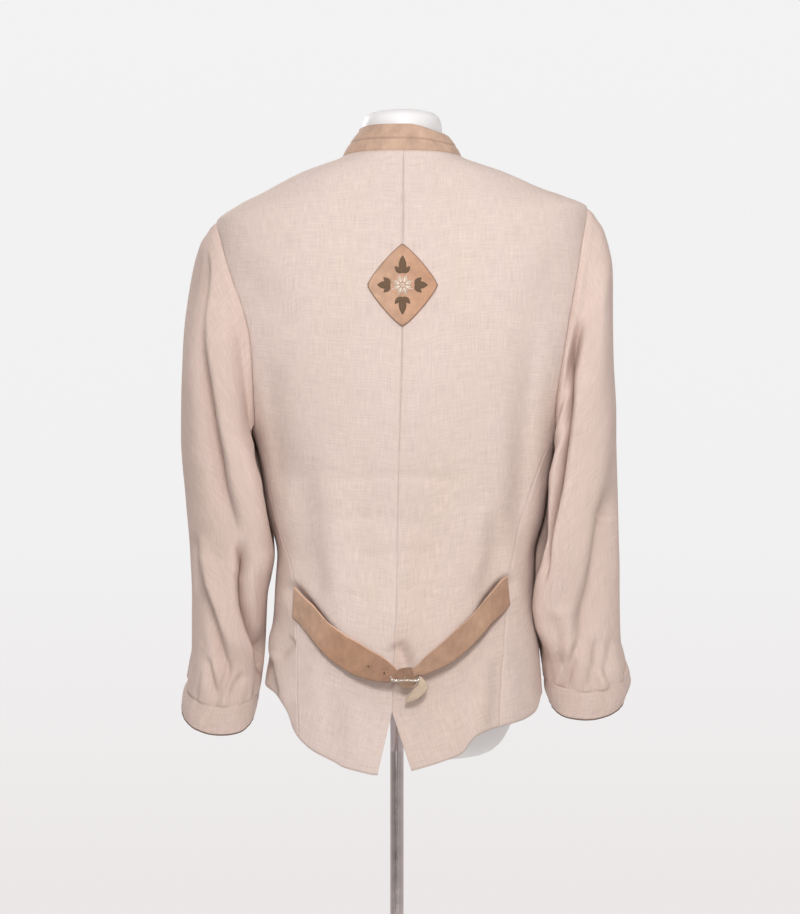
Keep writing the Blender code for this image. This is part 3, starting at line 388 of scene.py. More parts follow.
def front_panel(left, across, up):
    side = 1 if left else -1

    def inner(z):
        seam = turn_at(body_t["shift"](z) + side * seam_t["side_front"](z), z, -1) + (0.0 if left else 360.0)
        return np.where(z > UNDERARM_Z, armhole_turn(z, side, -1), seam)

    def outer(z):
        return turn_at(-side * FRONT_LAP, z, -1) + (0.0 if left else 360.0)

    def low(t):
        return hem_front(t, left)

    points = panel(inner, outer, low, neck_z, across, up)
    if left:
        lap = smooth((0.036 - points[..., 0]) / 0.016) * smooth((-points[..., 1] - 0.02) / 0.02)
        points[..., 1] += LAP_STEP * lap
    return points


# ------------------------------------------------------------------ sleeves
def along(points, n, closed=False):
    p = np.vstack([points, points[:1]]) if closed else np.asarray(points)
    d = np.concatenate([[0], np.cumsum(np.linalg.norm(np.diff(p, axis=0), axis=1))])
    at = np.linspace(0, d[-1], n + 1)[:-1] if closed else np.linspace(0, d[-1], n)
    return np.stack([np.interp(at, d, p[:, k]) for k in range(3)], 1)


def armhole_loop(side, n):
    z = np.linspace(SHOULDER_Z, UNDERARM_Z, 240)
    rear = body_point(armhole_turn(z, side, 1), z)
    fore = body_point(armhole_turn(z[::-1], side, -1), z[::-1])
    a0, a1 = armhole_turn(UNDERARM_Z, side, 1), armhole_turn(UNDERARM_Z, side, -1)
    t = np.linspace(a0, a1, 120)
    dip = UNDERARM_DIP * np.clip(1 - (np.abs(t - (0.0 if side > 0 else 180.0)) / 16) ** 2, 0, 1)
    return along(np.vstack([rear, body_point(t, UNDERARM_Z - dip)[1:-1], fore[:-1]]), n, closed=True)


def oval(row, side, n):
    ox, oz, ix, iz, depth, middle, tilt = row
    t = 2 * math.pi * np.arange(n) / n
    c, s = power(np.cos(t), 0.92), power(np.sin(t), 0.92)
    x = (ox + ix) / 2 + (ox - ix) / 2 * c
    z = (oz + iz) / 2 + (oz - iz) / 2 * c - depth * s * math.sin(math.radians(tilt))
    y = middle + depth * s * math.cos(math.radians(tilt))
    return np.stack([side * x, y, z], 1)


def sections(table, share):
    rows = np.array(table, float)
    mid = (rows[:, [0, 1]] + rows[:, [2, 3]]) / 2
    d = np.concatenate([[0], np.cumsum(np.linalg.norm(np.diff(mid, axis=0), axis=1))])
    return np.stack([Track(d / d[-1], rows[:, k])(share) for k in range(rows.shape[1])], 1)


def sleeve_rings(table, side, around, shares):
    loop = armhole_loop(side, around)
    top, low = loop[0], loop[np.argmin(loop[:, 2])]
    start = (abs(top[0]), top[2], abs(low[0]), low[2], 0.066, 0.0, 0.0)
    rows = sections((start,) + tuple(table), shares)
    first = oval(rows[0], side, around)
    rings = [oval(row, side, around) + (1 - smooth(share / 0.30)) * (loop - first) for share, row in zip(shares, rows)]
    return np.array(rings)


# ------------------------------------------------------------------ folds
def seen(px, py, y=0.0):
    """Garment (x, z) of a place in the picture, at a depth y: 1.15 mm a pixel on the back, more behind it."""
    k = 0.00115 * (3.115 - y) / 3.0
    return (402 - px) * k, 1.007 - (py - 457) * k


def value_noise(u, v, seed=0.0):
    """Smooth noise of about unit size, the same on every run."""
    iu, iv = np.floor(u), np.floor(v)
    fu, fv = smooth(u - iu), smooth(v - iv)

    def corner(a, b):
        h = np.sin((iu + a) * 127.1 + (iv + b) * 311.7 + seed * 74.7) * 43758.5453
        return (h - np.floor(h)) * 2 - 1

    return (corner(0, 0) * (1 - fu) + corner(1, 0) * fu) * (1 - fv) + (corner(0, 1) * (1 - fu) + corner(1, 1) * fu) * fv


def beside(x, z, path, y):
    """Distance of (x, z) from a path in the picture, above 0 on the left of a path that runs down, and the share along it."""
    line = np.array([seen(px, py, y) for px, py in path])
    a, b = line[:-1], line[1:]
    lengths = np.linalg.norm(b - a, axis=1)
    whole, before = lengths.sum(), np.concatenate([[0], np.cumsum(lengths)[:-1]])
    best = np.full(x.shape, 1e9)
    signed, run = np.zeros_like(x), np.zeros_like(x)
    for (p, q, length, start) in zip(a, b, lengths, before):
        d = (q - p) / length
        t = np.clip(((x - p[0]) * d[0] + (z - p[1]) * d[1]), 0, length)
        dx, dz = x - (p[0] + d[0] * t), z - (p[1] + d[1] * t)
        dist = np.hypot(dx, dz)
        near = dist < best
        best = np.where(near, dist, best)
        cross = d[0] * dz - d[1] * dx
        signed = np.where(near, np.sign(cross) * dist, signed)
        run = np.where(near, (start + t) / whole, run)
    return signed, run


def fold_push(x, z, folds, y):
    """How far the cloth moves out at (x, z) for a list of folds, each a path in the picture with a height (ridge
    above 0, trough below) and its widths, in metres: on the left and on the right of a path that runs down the picture."""
    total = np.zeros_like(x)
    for path, height, wide_left, wide_right in folds:
        signed, run = beside(x, z, path, y)
        width = np.where(signed > 0, wide_left, wide_right)
        total += height * np.exp(-((signed / width) ** 2)) * smooth(run / 0.22) * smooth((1 - run) / 0.22)
    return total


def fold_slide(x, z, slides, y):
    """How far the cloth slides to the left of the picture, for lips that lie over a trough: path, slide, and the place
    and width of the lip beside the path."""
    total = np.zeros_like(x)
    for path, slide, place, width in slides:
        signed, run = beside(x, z, path, y)
        total += slide * np.exp(-(((signed - place) / width) ** 2)) * smooth(run / 0.25) * smooth((1 - run) / 0.25)
    return total


# ------------------------------------------------------------------ meshes
def grid_normals(points, closed):
    if closed:
        du = np.roll(points, -1, 1) - np.roll(points, 1, 1)
    else:
        du = np.gradient(points, axis=1)
    dv = np.gradient(points, axis=0)
    n = np.cross(du, dv)
    return n / np.maximum(np.linalg.norm(n, axis=2, keepdims=True), 1e-12)


def lengths_along(points, axis):
    d = np.linalg.norm(np.diff(points, axis=axis), axis=2)
    return np.concatenate([np.zeros_like(np.take(d, [0], axis)), np.cumsum(d, axis=axis)], axis=axis)


made = {}


def mesh_object(name, verts, faces, loops_uv, looks, face_look=None, shift=GARMENT_X):
    """A mesh piece from arrays. The garment stands a little to one side of the pole, by shift."""
    verts = np.array(verts, float)
    verts[:, 0] += shift
    mesh = bpy.data.meshes.new(name)
    mesh.vertices.add(len(verts))
    mesh.vertices.foreach_set("co", np.asarray(verts, np.float32).ravel())
    counts = np.array([len(f) for f in faces], np.int32) if not isinstance(faces, np.ndarray) else np.full(len(faces), faces.shape[1], np.int32)
    flat = np.concatenate([np.asarray(f, np.int32) for f in faces]) if not isinstance(faces, np.ndarray) else faces.astype(np.int32).ravel()
    mesh.loops.add(len(flat))
    mesh.loops.foreach_set("vertex_index", flat)
    mesh.polygons.add(len(counts))
    mesh.polygons.foreach_set("loop_start", np.concatenate([[0], np.cumsum(counts)[:-1]]).astype(np.int32))
    if face_look is not None:
        mesh.polygons.foreach_set("material_index", np.asarray(face_look, np.int32))
    mesh.polygons.foreach_set("use_smooth", np.ones(len(counts), bool))
    if loops_uv is not None:
        layer = mesh.uv_layers.new(name="cloth")
        layer.data.foreach_set("uv", np.asarray(loops_uv, np.float32).ravel())
    mesh.update(calc_edges=True)
    mesh.validate()
    obj = bpy.data.objects.new(name, mesh)
    bpy.context.scene.collection.objects.link(obj)
    for look in looks if isinstance(looks, (list, tuple)) else [looks]:
        mesh.materials.append(look)
    made[name] = obj
    return obj


def shell(name, points, wall, looks, flip=False, closed=False, uv=None, outward=False):
    """Closed wall on a grid of points (rows, columns): the grid is its outer face, or its inner face if outward."""
    rows, cols = points.shape[:2]
    normal = grid_normals(points, closed) * (-1 if flip else 1)
    if outward:
        outer, inner = points + normal * wall, points
    else:
        outer, inner = points, points - normal * wall
    verts = np.concatenate([outer.reshape(-1, 3), inner.reshape(-1, 3)])
    i, j = np.meshgrid(np.arange(rows - 1), np.arange(cols if closed else cols - 1), indexing="ij")
    k = (j + 1) % cols
    quad = np.stack([i * cols + j, i * cols + k, (i + 1) * cols + k, (i + 1) * cols + j], -1).reshape(-1, 4)
    if uv is None:
        uv = np.stack([lengths_along(points, 1), lengths_along(points, 0)], -1)
    if closed:
        step = np.linalg.norm(points[:, 0] - points[:, -1], axis=1)[:, None]
        wrapped = np.concatenate([uv, np.stack([uv[:, -1:, 0] + step, uv[:, -1:, 1]], -1)], 1)
    else:
        wrapped = uv
    corner = np.stack([wrapped[i, j], wrapped[i, j + 1], wrapped[i + 1, j + 1], wrapped[i + 1, j]], -2).reshape(-1, 4, 2)
    n = rows * cols
    front, front_uv = (quad[:, ::-1], corner[:, ::-1]) if flip else (quad, corner)
    back, back_uv = front[:, ::-1] + n, front_uv[:, ::-1]
    rims = []

    def rim(line):
        a, b = np.asarray(line[:-1]), np.asarray(line[1:])
        return np.stack([a, b, b + n, a + n], 1)

    if closed:
        ring0 = np.concatenate([np.arange(cols), [0]])
        rims += [rim(ring0)[:, ::-1], rim(ring0 + (rows - 1) * cols)]
    else:
        edge = np.concatenate([np.arange(cols), np.arange(1, rows) * cols + cols - 1, (rows - 1) * cols + np.arange(cols - 2, -1, -1), np.arange(rows - 2, -1, -1) * cols])
        rims.append(rim(edge)[:, ::-1])
    rims = np.concatenate(rims)
    if flip:
        rims = rims[:, ::-1]
    flat_uv = np.concatenate([uv.reshape(-1, 2), uv.reshape(-1, 2)])
    faces = np.concatenate([front, back, rims])
    uvs = np.concatenate([front_uv.reshape(-1, 2), back_uv.reshape(-1, 2), flat_uv[rims].reshape(-1, 2)])
    obj = mesh_object(name, verts, faces, uvs, looks)
    obj["flat_area"] = float(quad_area(points, closed))
    obj["flat_w"] = float(lengths_along(points, 1)[:, -1].max() + (np.linalg.norm(points[:, 0] - points[:, -1], axis=1).max() if closed else 0))
    obj["flat_l"] = float(lengths_along(points, 0)[-1].max())
    return obj


def quad_area(points, closed):
    p = np.concatenate([points, points[:, :1]], 1) if closed else points
    a, b, c, d = p[:-1, :-1], p[:-1, 1:], p[1:, 1:], p[1:, :-1]
    return 0.5 * (np.linalg.norm(np.cross(b - a, c - a), axis=2) + np.linalg.norm(np.cross(c - a, d - a), axis=2)).sum()


def tube_mesh(name, path, radius, looks, closed=False, sides=10, squash=1.0):
    """Round bar along a path; radius is one number or one for each point."""
    p = np.asarray(path, float)
    n = len(p)
    r = np.broadcast_to(np.asarray(radius, float), (n,))
    run = (np.roll(p, -1, 0) - np.roll(p, 1, 0)) if closed else np.gradient(p, axis=0)
    run /= np.linalg.norm(run, axis=1, keepdims=True)
    ref = np.array([0.0, 1.0, 0.0])
    side = np.cross(run, ref)
    weak = np.linalg.norm(side, axis=1) < 0.2
    side[weak] = np.cross(run[weak], np.array([1.0, 0.0, 0.0]))
    side /= np.linalg.norm(side, axis=1, keepdims=True)
    up = np.cross(side, run)
    t = 2 * math.pi * np.arange(sides) / sides
    ring = p[:, None] + (side[:, None] * np.cos(t)[None, :, None] + up[:, None] * np.sin(t)[None, :, None] * squash) * r[:, None, None]
    i, j = np.meshgrid(np.arange(n if closed else n - 1), np.arange(sides), indexing="ij")
    i2, k = (i + 1) % n, (j + 1) % sides
    quads = np.stack([i * sides + j, i * sides + k, i2 * sides + k, i2 * sides + j], -1).reshape(-1, 4)
    faces = [tuple(q) for q in quads[:, ::-1]]
    if not closed:
        faces += [tuple(range(sides)), tuple(range(n * sides - 1, (n - 1) * sides - 1, -1))]
    return ring.reshape(-1, 3), faces


def joined(name, pieces, looks, shift=GARMENT_X):
    """One object of several (verts, faces) or (verts, faces, look number) pieces."""
    verts, faces, face_look, base = [], [], [], 0
    for v, f, *look in pieces:
        verts.append(np.asarray(v))
        faces += [tuple(int(q) + base for q in face) for face in f]
        face_look += [look[0] if look else 0] * len(f)
        base += len(v)
    return mesh_object(name, np.concatenate(verts), faces, None, looks, face_look, shift)


# ------------------------------------------------------------------ materials
class Graph:
    """Small helper for a material's nodes."""

    def __init__(self, name, roughness, metallic=0.0, sheen=0.0, specular=0.5):
        self.look = bpy.data.materials.new(name)
        self.look.use_nodes = True
        self.tree = self.look.node_tree
        self.shader = self.tree.nodes["Principled BSDF"]
        self.shader.inputs["Roughness"].default_value = roughness
        self.shader.inputs["Metallic"].default_value = metallic
        self.shader.inputs["Sheen Weight"].default_value = sheen
        self.shader.inputs["Sheen Roughness"].default_value = 0.5
        self.shader.inputs["Specular IOR Level"].default_value = specular

    def node(self, kind, **values):
        made_node = self.tree.nodes.new(kind)
        for key, value in values.items():
            setattr(made_node, key, value)
        return made_node

    def link(self, a, b):
        self.tree.links.new(a, b)

    def math(self, operation, a, b=0.0, c=0.0, clamp=False):
        m = self.node("ShaderNodeMath", operation=operation, use_clamp=clamp)
        for slot, x in zip(m.inputs, (a, b, c)):
            if isinstance(x, (int, float)):
                slot.default_value = x
            else:
                self.link(x, slot)
        return m.outputs[0]

    def uv(self):
        n = self.node("ShaderNodeUVMap", uv_map="cloth")
        return n.outputs["UV"]

    def place(self):
        return self.node("ShaderNodeTexCoord").outputs["Object"]

    def noise(self, vector, scale, detail=2.0, rough=0.55, offset=(0, 0, 0)):
        m = self.node("ShaderNodeMapping")
        m.inputs["Scale"].default_value = scale if hasattr(scale, "__len__") else (scale,) * 3
        m.inputs["Location"].default_value = offset
        self.link(vector, m.inputs["Vector"])
        n = self.node("ShaderNodeTexNoise")
        n.inputs["Scale"].default_value = 1.0
        n.inputs["Detail"].default_value = detail
        n.inputs["Roughness"].default_value = rough
        self.link(m.outputs[0], n.inputs["Vector"])
        return n.outputs["Fac"]

    def ramp(self, fac, stops):
        r = self.node("ShaderNodeValToRGB")
        r.color_ramp.elements.remove(r.color_ramp.elements[1])
        for k, (at, colour) in enumerate(stops):
            e = r.color_ramp.elements[0] if k == 0 else r.color_ramp.elements.new(at)
            e.position = at
            e.color = (*colour, 1.0)
        self.link(fac, r.inputs["Fac"])
        return r.outputs["Color"]

    def mix_colour(self, fac, a, b, blend="MIX"):
        m = self.node("ShaderNodeMixRGB", blend_type=blend)
        for slot, x in zip(m.inputs, (fac, a, b)):
            if isinstance(x, (int, float)):
                slot.default_value = x
            elif isinstance(x, tuple):
                slot.default_value = (*x, 1.0)
            else:
                self.link(x, slot)
        return m.outputs[0]

    def colour(self, x):
        self.link(x, self.shader.inputs["Base Color"])

    def bump(self, height, strength, distance):
        b = self.node("ShaderNodeBump")
        b.inputs["Strength"].default_value = strength
        b.inputs["Distance"].default_value = distance
        self.link(height, b.inputs["Height"])
        self.link(b.outputs["Normal"], self.shader.inputs["Normal"])


def shade(colour, k):
    return tuple(min(1.0, c * k) for c in colour)


LINEN = (0.700, 0.577, 0.528)


def linen_look(name, edge=None, painted_shade_by=(1, 1, 1), hem_shade_tint=None):
    """Plain weave with slubs: threads along both UV directions, in metres. edge adds a dark line at that height of the
    UV.
    A colour multiplier makes darker, warmer copies of the cloth as painted shade; a hem tint darkens and warms it
    towards its hem, painted shade."""
    g = Graph(name, 0.92, sheen=0.06, specular=0.2)
    uv = g.uv()
    warp = g.noise(uv, (1050, 38, 1), 2.0, 0.6)
    weft = g.noise(uv, (34, 950, 1), 2.0, 0.6, (3, 7, 0))
    fine = g.noise(uv, (1700, 1700, 1), 1.0, 0.5, (11, 2, 0))
    slub = g.noise(uv, (52, 620, 1), 1.0, 0.4, (21, 17, 0))
    slub_up = g.noise(uv, (640, 46, 1), 1.0, 0.4, (5, 31, 0))
    cloud = g.noise(uv, (16, 11, 1), 3.0, 0.6, (9, 4, 0))
    threads = g.math("MULTIPLY_ADD", warp, 0.5, g.math("MULTIPLY", weft, 0.5))
    threads = g.math("MULTIPLY_ADD", fine, 0.25, g.math("MULTIPLY", threads, 0.75))
    # the multiplier gives darker, warmer copies of the one cloth: painted shade
    base = tuple(c * k for c, k in zip(LINEN, painted_shade_by))
    colour = g.ramp(threads, [(0.34, shade(base, 0.78)), (0.5, base), (0.66, shade(base, 1.17))])
    bright = g.math("MULTIPLY", g.math("MULTIPLY_ADD", slub, 9.0, -5.9, clamp=True), 0.22)
    colour = g.mix_colour(bright, colour, (0.83, 0.72, 0.67))
    bright_up = g.math("MULTIPLY", g.math("MULTIPLY_ADD", slub_up, 9.0, -6.0, clamp=True), 0.17)
    colour = g.mix_colour(bright_up, colour, (0.83, 0.72, 0.67))
    cloudy = g.math("MULTIPLY", g.math("MULTIPLY_ADD", cloud, 2.2, -0.75, clamp=True), 0.22)
    colour = g.mix_colour(cloudy, colour, shade(base, 0.86))
    mottle = g.noise(uv, (120, 95, 1), 2.0, 0.6, (2, 14, 0))
    mottled = g.math("MULTIPLY", g.math("MULTIPLY_ADD", mottle, 2.6, -0.9, clamp=True), 0.28)
    colour = g.mix_colour(mottled, colour, shade(base, 0.84))
    tint = g.noise(uv, (22, 5, 1), 2.0, 0.5, (14, 8, 0))
    tinted = g.math("MULTIPLY", g.math("MULTIPLY_ADD", tint, 3.0, -1.1, clamp=True), 0.55)
    colour = g.mix_colour(tinted, colour, (1.0, 0.985, 0.935), "MULTIPLY")
    # darker and warmer towards the hem: painted shade
    if hem_shade_tint:
        up = g.node("ShaderNodeSeparateXYZ")
        g.link(uv, up.inputs[0])
        colour = g.mix_colour(g.math("MULTIPLY_ADD", up.outputs["Y"], -3.3, 1.5, clamp=True), colour, hem_shade_tint, "MULTIPLY")
    if edge:
        v = g.node("ShaderNodeSeparateXYZ")
        g.link(uv, v.inputs[0])
        line = g.math("COMPARE", v.outputs["Y"], edge[0], edge[1])
        colour = g.mix_colour(g.math("MULTIPLY", line, 0.85), colour, (0.12, 0.085, 0.07))
    g.colour(colour)
    height = g.math("MULTIPLY_ADD", bright, 1.2, threads)
    g.bump(height, 0.55, 0.0007)
    return g.look


def suede_look(name, colour, stitches=None, crease=None, edge_light=None, tone_along=None):
    """Napped suede. stitches: distances across the UV of rows of stitches; crease: a pressed line, darkened along it as
    painted shade; edge_light: a pale line along a cut edge, partly the edge's own tone and partly a painted highlight;
    and a slow change of tone along the piece, given as UV direction, start, length and tones: painted light and shade
    on the straps, darker towards the buckle; on the patch darker towards the wearer's right."""
    g = Graph(name, 0.9, sheen=0.15, specular=0.2)
    uv = g.uv()
    nap = g.noise(uv, (900, 900, 1), 3.0, 0.65)
    patch = g.noise(uv, (70, 55, 1), 3.0, 0.6, (4, 9, 0))
    broad = g.noise(uv, (16, 22, 1), 2.0, 0.5, (1, 6, 0))
    mixed = g.math("MULTIPLY_ADD", patch, 0.45, g.math("MULTIPLY_ADD", nap, 0.30, g.math("MULTIPLY", broad, 0.25)))
    tone = g.ramp(mixed, [(0.32, shade(colour, 0.70)), (0.5, colour), (0.68, shade(colour, 1.28))])
    height = mixed
    split = g.node("ShaderNodeSeparateXYZ")
    g.link(uv, split.inputs[0])
    for at in stitches or ():
        on_line = g.math("COMPARE", split.outputs["Y"], at, 0.00045)
        dash = g.math("GREATER_THAN", g.math("FRACT", g.math("MULTIPLY", split.outputs["X"], 1 / 0.0032)), 0.28)
        stitch = g.math("MULTIPLY", on_line, dash)
        tone = g.mix_colour(g.math("MULTIPLY", on_line, 0.30), tone, shade(colour, 0.55))
        tone = g.mix_colour(g.math("MULTIPLY", stitch, 0.35), tone, shade(colour, 0.9))
        height = g.math("MULTIPLY_ADD", on_line, -0.5, height)
    if crease:
        # the crease line is darkened: painted shade in the pressed groove
        line = g.math("COMPARE", split.outputs["Y"], crease, 0.0006)
        tone = g.mix_colour(g.math("MULTIPLY", line, 0.55), tone, shade(colour, 0.5))
        height = g.math("MULTIPLY_ADD", line, -0.8, height)
    # slow change of tone along the piece: on the straps painted shade, darker towards the buckle
    if tone_along:
        axis, begin, length, stops = tone_along
        share = g.math("MULTIPLY_ADD", split.outputs[axis], 1 / length, -begin / length, clamp=True)
        tone = g.mix_colour(1.0, tone, g.ramp(share, stops), "MULTIPLY")
    # a pale line along the strap's top edge: partly the cut edge's own tone, partly a painted highlight where the edge
    # catches the light
    for at in edge_light or ():
        line = g.math("COMPARE", split.outputs["Y"], at, 0.0013)
        tone = g.mix_colour(g.math("MULTIPLY", line, 0.60), tone, shade(colour, 1.75))
    g.colour(tone)
    g.bump(height, 0.45, 0.0006)
    return g.look


def plain_look(name, colour, roughness, metallic=0.0, vary=0.06, scale=40, specular=0.5, bump=0.0):
    g = Graph(name, roughness, metallic, specular=specular)
    n = g.noise(g.place(), scale, 3.0, 0.6)
    g.colour(g.ramp(n, [(0.3, shade(colour, 1 - vary)), (0.7, shade(colour, 1 + vary))]))
    rough = g.math("MULTIPLY_ADD", n, 0.12, roughness - 0.06)
    g.link(rough, g.shader.inputs["Roughness"])
    if bump:
        g.bump(n, bump, 0.0004)
    return g.look


TAN, BUFF = (0.41, 0.255, 0.165), (0.60, 0.435, 0.32)
linen = linen_look("linen")
# the right back's copy, darker and warmer towards its hem: painted shade
shaded_linen_low = linen_look("shaded_linen_low", hem_shade_tint=(0.965, 0.938, 0.918))
# darker, warmer copies of the one linen for the sleeves and cuffs, the left sleeve, the fronts and the sides: painted
# shade
linen_sleeve = linen_look("linen_sleeve", painted_shade_by=(0.975, 0.932, 0.914))
linen_sleeve_left = linen_look("linen_sleeve_left", painted_shade_by=(0.958, 0.910, 0.890))
linen_front = linen_look("linen_front", painted_shade_by=(0.972, 0.934, 0.918))
linen_side = linen_look("linen_side", painted_shade_by=(0.984, 0.962, 0.953))
COLLAR_LONG = COLLAR_HEIGHT + 0.004
collar_look = suede_look("collar_suede", (0.547, 0.368, 0.271), stitches=(0.0025, 0.0165), crease=0.0150)
# the two straps are one suede: their different base colours and their tones along the length are painted light and
# shade
STRAP_SHADE_ALONG = ((0.0, (1, 1, 1)), (0.25, (0.913, 0.872, 0.854)), (0.45, (0.772, 0.677, 0.623)), (0.65, (0.706, 0.635, 0.563)), (0.92, (0.617, 0.537, 0.510)))
strap_look = suede_look("strap_suede", (0.517, 0.337, 0.239), edge_light=(0.0325,), tone_along=("X", 0.0, 0.155, STRAP_SHADE_ALONG))
RIGHT_STRAP_SHADE_ALONG = ((0.0, (0.96, 0.90, 0.89)), (0.3, (1, 1, 1)), (0.6, (0.90, 0.863, 0.874)), (0.85, (0.944, 0.93, 0.945)))
strap_right_look = suede_look("strap_right_suede", (0.428, 0.270, 0.182), edge_light=(0.0305,), tone_along=("X", 0.0, 0.150, RIGHT_STRAP_SHADE_ALONG))
# a much darker copy of the strap suede: painted shade
behind_shaded_look = suede_look("behind_suede_shaded", (0.300, 0.178, 0.118))
# a darker copy of the strap suede: painted shade
loop_shaded_look = suede_look("loop_suede_shaded", (0.36, 0.235, 0.165))
tail_look = suede_look("tail_suede", (0.58, 0.45, 0.34))
patch_look = suede_look("patch_suede", (0.555, 0.353, 0.246), tone_along=("X", -0.03, 0.06, ((0.0, (0.88, 0.785, 0.724)), (0.55, (0.95, 0.91, 0.88)), (1.0, (1, 1, 1)))))
# near-black fill of the belt holes: painted shade
punched = plain_look("punched_hole_shade", (0.11, 0.07, 0.05), 0.9, vary=0.2, scale=600)
brown_look = suede_look("applique_brown", (0.150, 0.095, 0.058))
patch_thread = plain_look("patch_thread", (0.22, 0.15, 0.11), 0.8, vary=0.25, scale=900)
thread_look = plain_look("thread", (0.80, 0.74, 0.66), 0.7, vary=0.12, scale=900)
silver = plain_look("old_silver", (0.74, 0.70, 0.63), 0.22, 1.0, vary=0.12, scale=500, bump=0.15)
horn = plain_look("horn", (0.20, 0.125, 0.08), 0.38, vary=0.55, scale=160, bump=0.2)
white_shell = plain_look("form_white", (0.81, 0.80, 0.80), 0.38, vary=0.012, scale=6)
# the chrome's warm pink tint is painted reflection of the warm room
chrome = plain_look("chrome", (0.875, 0.785, 0.790), 0.13, 1.0, vary=0.05, scale=60)
cuff_line_look = plain_look("cuff_piping", (0.17, 0.115, 0.09), 0.8, vary=0.25, scale=700)
stitch_look = plain_look("stitching", (0.52, 0.37, 0.27), 0.75, vary=0.15, scale=900)
# near-black colour of the button holes: painted shade
hole_shade_look = plain_look("button_hole", (0.03, 0.02, 0.015), 0.8, vary=0.2, scale=500)
floor_look = plain_look("studio_floor", (0.88, 0.87, 0.87), 0.75, vary=0.015, scale=3)


# ------------------------------------------------------------------ folds of the jacket
# Each row: path in the picture's pixels, height (ridge above 0), width on its left, width on its right, in metres.
FOLD_COLUMNS = ("path", "height", "wide_left", "wide_right")
BACK_FOLDS = (
    (((536, 318), (530, 400), (525, 490), (516, 578)), -0.0048, 0.018, 0.012),
    (((505, 400), (501, 480), (492, 556)), 0.0022, 0.020, 0.016),
    (((266, 350), (270, 420), (281, 505)), -0.0032, 0.010, 0.018),
    (((300, 440), (302, 520), (309, 570), (320, 616)), -0.0034, 0.022, 0.018),
    (((331, 470), (331, 550), (340, 612)), 0.0030, 0.016, 0.020),
    (((498, 500), (497, 560), (486, 597), (474, 618)), -0.0040, 0.016, 0.016),
    (((478, 500), (478, 556), (470, 590)), 0.0028, 0.020, 0.014),
    (((362, 440), (359, 520), (364, 590)), -0.0012, 0.014, 0.016),
    (((440, 450), (444, 520), (438, 580)), -0.0012, 0.016, 0.016),
    (((324, 481), (400, 475), (474, 483)), -0.0013, 0.006, 0.008),
    (((312, 524), (380, 517), (446, 526)), -0.0015, 0.007, 0.008),
    (((352, 560), (405, 552), (462, 561)), -0.0013, 0.005, 0.007),
    (((404, 582), (424, 579), (446, 583)), 0.0013, 0.004, 0.004),
    (((410, 589), (434, 592), (456, 600)), 0.0013, 0.004, 0.004),
    (((338, 590), (360, 600), (384, 598)), -0.0012, 0.005, 0.006),
    (((394, 630), (402, 648), (413, 668)), -0.0030, 0.012, 0.012),
    (((394, 640), (403, 664), (409, 684)), -0.0085, 0.012, 0.011),
    (((284, 582), (293, 596), (305, 608.5), (313, 617.5), (322, 628.5), (338, 643)), -0.0115, 0.010, 0.0070),
    (((517, 575), (508, 585.5), (502, 592.5), (487, 611.5), (480, 620.5), (460, 640)), -0.0125, 0.0070, 0.010),
    (((486, 645), (481, 700), (476, 750)), 0.0026, 0.014, 0.014),
    (((502, 650), (497, 700), (492, 745)), -0.0022, 0.013, 0.014),
    (((330, 662), (328, 700), (331, 752)), -0.0024, 0.014, 0.016),
    (((356, 690), (352, 725), (353, 765)), 0.0020, 0.012, 0.012),
    (((434, 690), (440, 725), (438, 765)), -0.0020, 0.012, 0.014),
    (((276, 662), (284, 650), (294, 640)), -0.0034, 0.006, 0.006),
    (((267, 622), (271, 655), (278, 682), (287, 714)), 0.0046, 0.005, 0.014),
    (((268, 660), (271, 680), (277, 700)), -0.0040, 0.006, 0.005),
    (((238, 260), (262, 300), (300, 330)), -0.0016, 0.018, 0.018),
    (((566, 250), (548, 296), (516, 330)), -0.0016, 0.018, 0.018),
    (((330, 190), (360, 208), (398, 214)), -0.0010, 0.012, 0.012),
)
FRONT_FOLDS = (
    (((300, 300), (318, 420), (330, 560), (326, 690)), -0.0040, 0.018, 0.016),
    (((352, 380), (360, 500), (356, 640)), 0.0026, 0.018, 0.016),
    (((500, 310), (486, 430), (474, 560), (480, 690)), -0.0042, 0.016, 0.018),
    (((452, 400), (446, 520), (450, 650)), 0.0024, 0.016, 0.016),
    (((340, 470), (372, 462), (396, 466)), -0.0016, 0.006, 0.008),
    (((410, 520), (436, 512), (470, 524)), -0.0018, 0.006, 0.008),
    (((330, 560), (366, 566), (394, 560)), -0.0016, 0.006, 0.007),
    (((276, 360), (296, 420), (316, 450)), -0.0028, 0.012, 0.010),
    (((536, 370), (516, 430), (494, 462)), -0.0028, 0.010, 0.012),
    (((280, 620), (300, 650), (312, 690)), 0.0024, 0.012, 0.010),
    (((522, 610), (506, 650), (498, 690)), 0.0026, 0.010, 0.012),
)
SLEEVE_FOLDS_LEFT = (
    (((203, 235), (206, 297), (210, 351), (216, 385), (221, 420), (229, 462), (233, 497), (240, 540)), -0.0185, 0.022, 0.0050),
    (((213, 290), (222, 385), (229, 425), (239, 465), (246, 505), (252, 545)), 0.0058, 0.008, 0.020),
    (((245, 320), (248, 360), (252, 410), (257, 450)), -0.0075, 0.012, 0.006),
    (((194, 530), (203, 586), (212, 611), (224, 657), (232, 682)), -0.0105, 0.012, 0.0045),
    (((198, 530), (213, 600), (228, 636), (247, 668)), 0.0058, 0.007, 0.010),
    (((243, 535), (235, 580), (238, 605), (247, 630), (258, 656), (266, 684)), -0.0210, 0.0055, 0.010),
    (((259, 505), (270, 551), (258, 585)), 0.0030, 0.012, 0.008),
    (((204, 655), (210, 680), (217, 702)), -0.0045, 0.006, 0.0045),
    (((232, 656), (225, 680), (218, 702)), -0.0042, 0.0045, 0.006),
    (((190, 560), (196, 620), (207, 672)), -0.0028, 0.010, 0.012),
    (((246, 672), (236, 685), (228, 702)), -0.0036, 0.005, 0.006),
    (((228, 235), (232, 280), (238, 330)), -0.0022, 0.010, 0.014),
)
